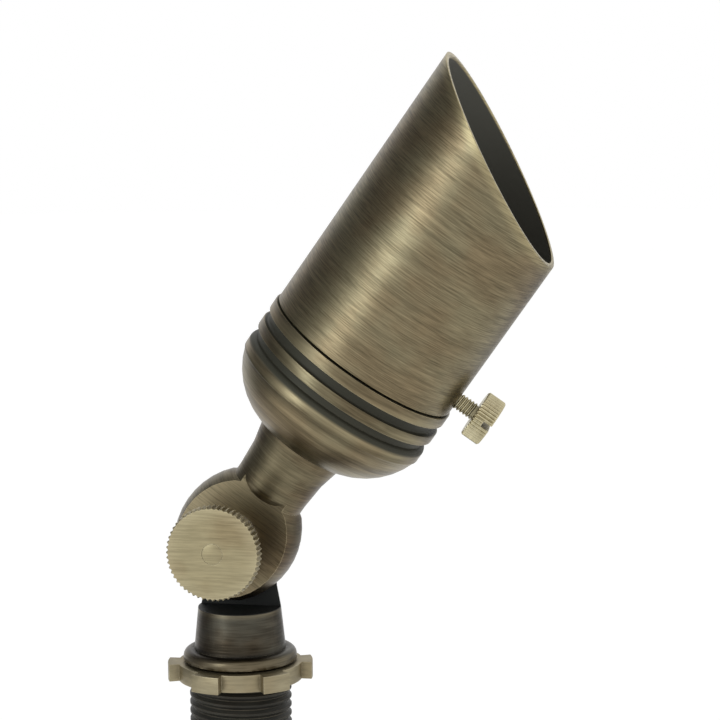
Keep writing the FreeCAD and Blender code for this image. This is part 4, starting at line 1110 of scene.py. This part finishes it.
def floor_finish():
    f = Finish("paper_floor")
    f.tree.nodes.remove(f.shader)
    grain = f.noise(9)
    paper = f.mix(grain, rgb(0.84, 0.84, 0.84), rgb(0.88, 0.88, 0.88))
    matt = f.node("BsdfDiffuse", {"Color": paper}).outputs[0]
    path = f.node("LightPath").outputs
    lift = f.times(f.larger(path["Is Camera Ray"], path["Is Glossy Ray"]), FLOOR_LIFT)
    glow = f.node("Emission", {"Strength": lift}).outputs[0]
    both = f.node("AddShader", {0: matt, 1: glow}).outputs[0]
    f.put(f.tree.nodes["Material Output"].inputs["Surface"], both)
    return f.material


def lay_floor(radius=4.0, below=0.0005):
    mesh = bmesh.new()
    bmesh.ops.create_circle(mesh, cap_ends=True, segments=64, radius=radius,
                            matrix=Matrix.Translation((0, 0, CAD_BOX[0][2] - below)))
    floor = as_object("floor", mesh)
    floor.data.materials.append(floor_finish())
    floor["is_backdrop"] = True


white_room()
lay_floor()

# %% [markdown]
# One tall soft lamp a little left of the camera draws the long streak. A card beside the
# head, darker along its middle, draws the dark band left of the streak, and a paler card
# behind on the right takes the glare off that side. Both are seen in reflections only.

# %% Lamp and cards
LIT_POINT = PIVOT + HEAD_AXIS * 0.05
ACROSS = Vector((math.cos(HEAD_TILT), 0, -math.sin(HEAD_TILT)))
BESIDE_THE_CUP = LIT_POINT - HEAD_AXIS * 0.12
KEY_SIDE = Vector((-0.53, -0.836, 0.27)).normalized()
KEY_DISTANCE, KEY_WIDTH, KEY_HEIGHT, KEY_WATTS = 0.75, 0.18, 0.54, 1.3


def panel(name, centre, towards, width, height, finish):
    """A flat card that faces a point."""
    mesh = bmesh.new()
    turn = (Vector(towards) - Vector(centre)).to_track_quat("Z", "Y").to_matrix().to_4x4()
    size = Matrix.Diagonal((width, height, 1, 1))
    bmesh.ops.create_grid(mesh, x_segments=1, y_segments=1, size=0.5,
                          matrix=Matrix.Translation(centre) @ turn @ size)
    card = as_object(name, mesh)
    card.data.materials.append(finish)
    card.visible_camera = card.visible_diffuse = False
    card.visible_shadow = card.visible_transmission = False
    card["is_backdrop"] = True


def card_finish(name, share, one, other):
    """The share says where the second colour takes over from the first."""
    f = Finish(name)
    return f.shade(Base_Color=f.mix(share(f), one, other), Roughness=0.9)


def away_from_the_middle(f):
    return f.within(f.maths("ABSOLUTE", f.dot(f.spot, BACK)), 0.08, 0.34)


dark_card = card_finish("dark_card", away_from_the_middle, rgb(0.26, 0.265, 0.28),
                        rgb(0.62, 0.62, 0.62))
grey_card = card_finish("grey_card", lambda f: f.noise(6), rgb(0.6, 0.6, 0.6),
                        rgb(0.66, 0.66, 0.66))
panel("side_card", BESIDE_THE_CUP - ACROSS * 0.42, BESIDE_THE_CUP, 0.68, 1.0, dark_card)
panel("back_card", LIT_POINT + ACROSS * 0.32 + Vector(BACK) * 0.42, LIT_POINT, 0.4, 0.6,
      grey_card)

light = bpy.data.lights.new("key", "AREA")
light.shape, light.size, light.size_y, light.energy = "RECTANGLE", KEY_WIDTH, KEY_HEIGHT, KEY_WATTS
light.color = (0.94, 1.0, 1.04)
lamp = bpy.data.objects.new("key", light)
lamp.matrix_world = (Matrix.Translation(LIT_POINT + KEY_SIDE * KEY_DISTANCE)
                     @ (-KEY_SIDE).to_track_quat("-Z", "Y").to_matrix().to_4x4())
lamp.visible_camera = False
bpy.context.scene.collection.objects.link(lamp)

# %% [markdown]
# ## Sizes and the end
#
# The box of the CAD model and the box of the dressed model are both printed, side by side.
# The dressed model may not outgrow the CAD model.

# %% Sizes, view settings and finish
DRESSED_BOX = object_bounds()
bpy.context.scene.view_settings.view_transform = "Standard"
for name, corners in (("CAD", CAD_BOX), ("dressed", DRESSED_BOX)):
    print(name, "box", [tuple(round(c, 4) for c in corner) for corner in corners])
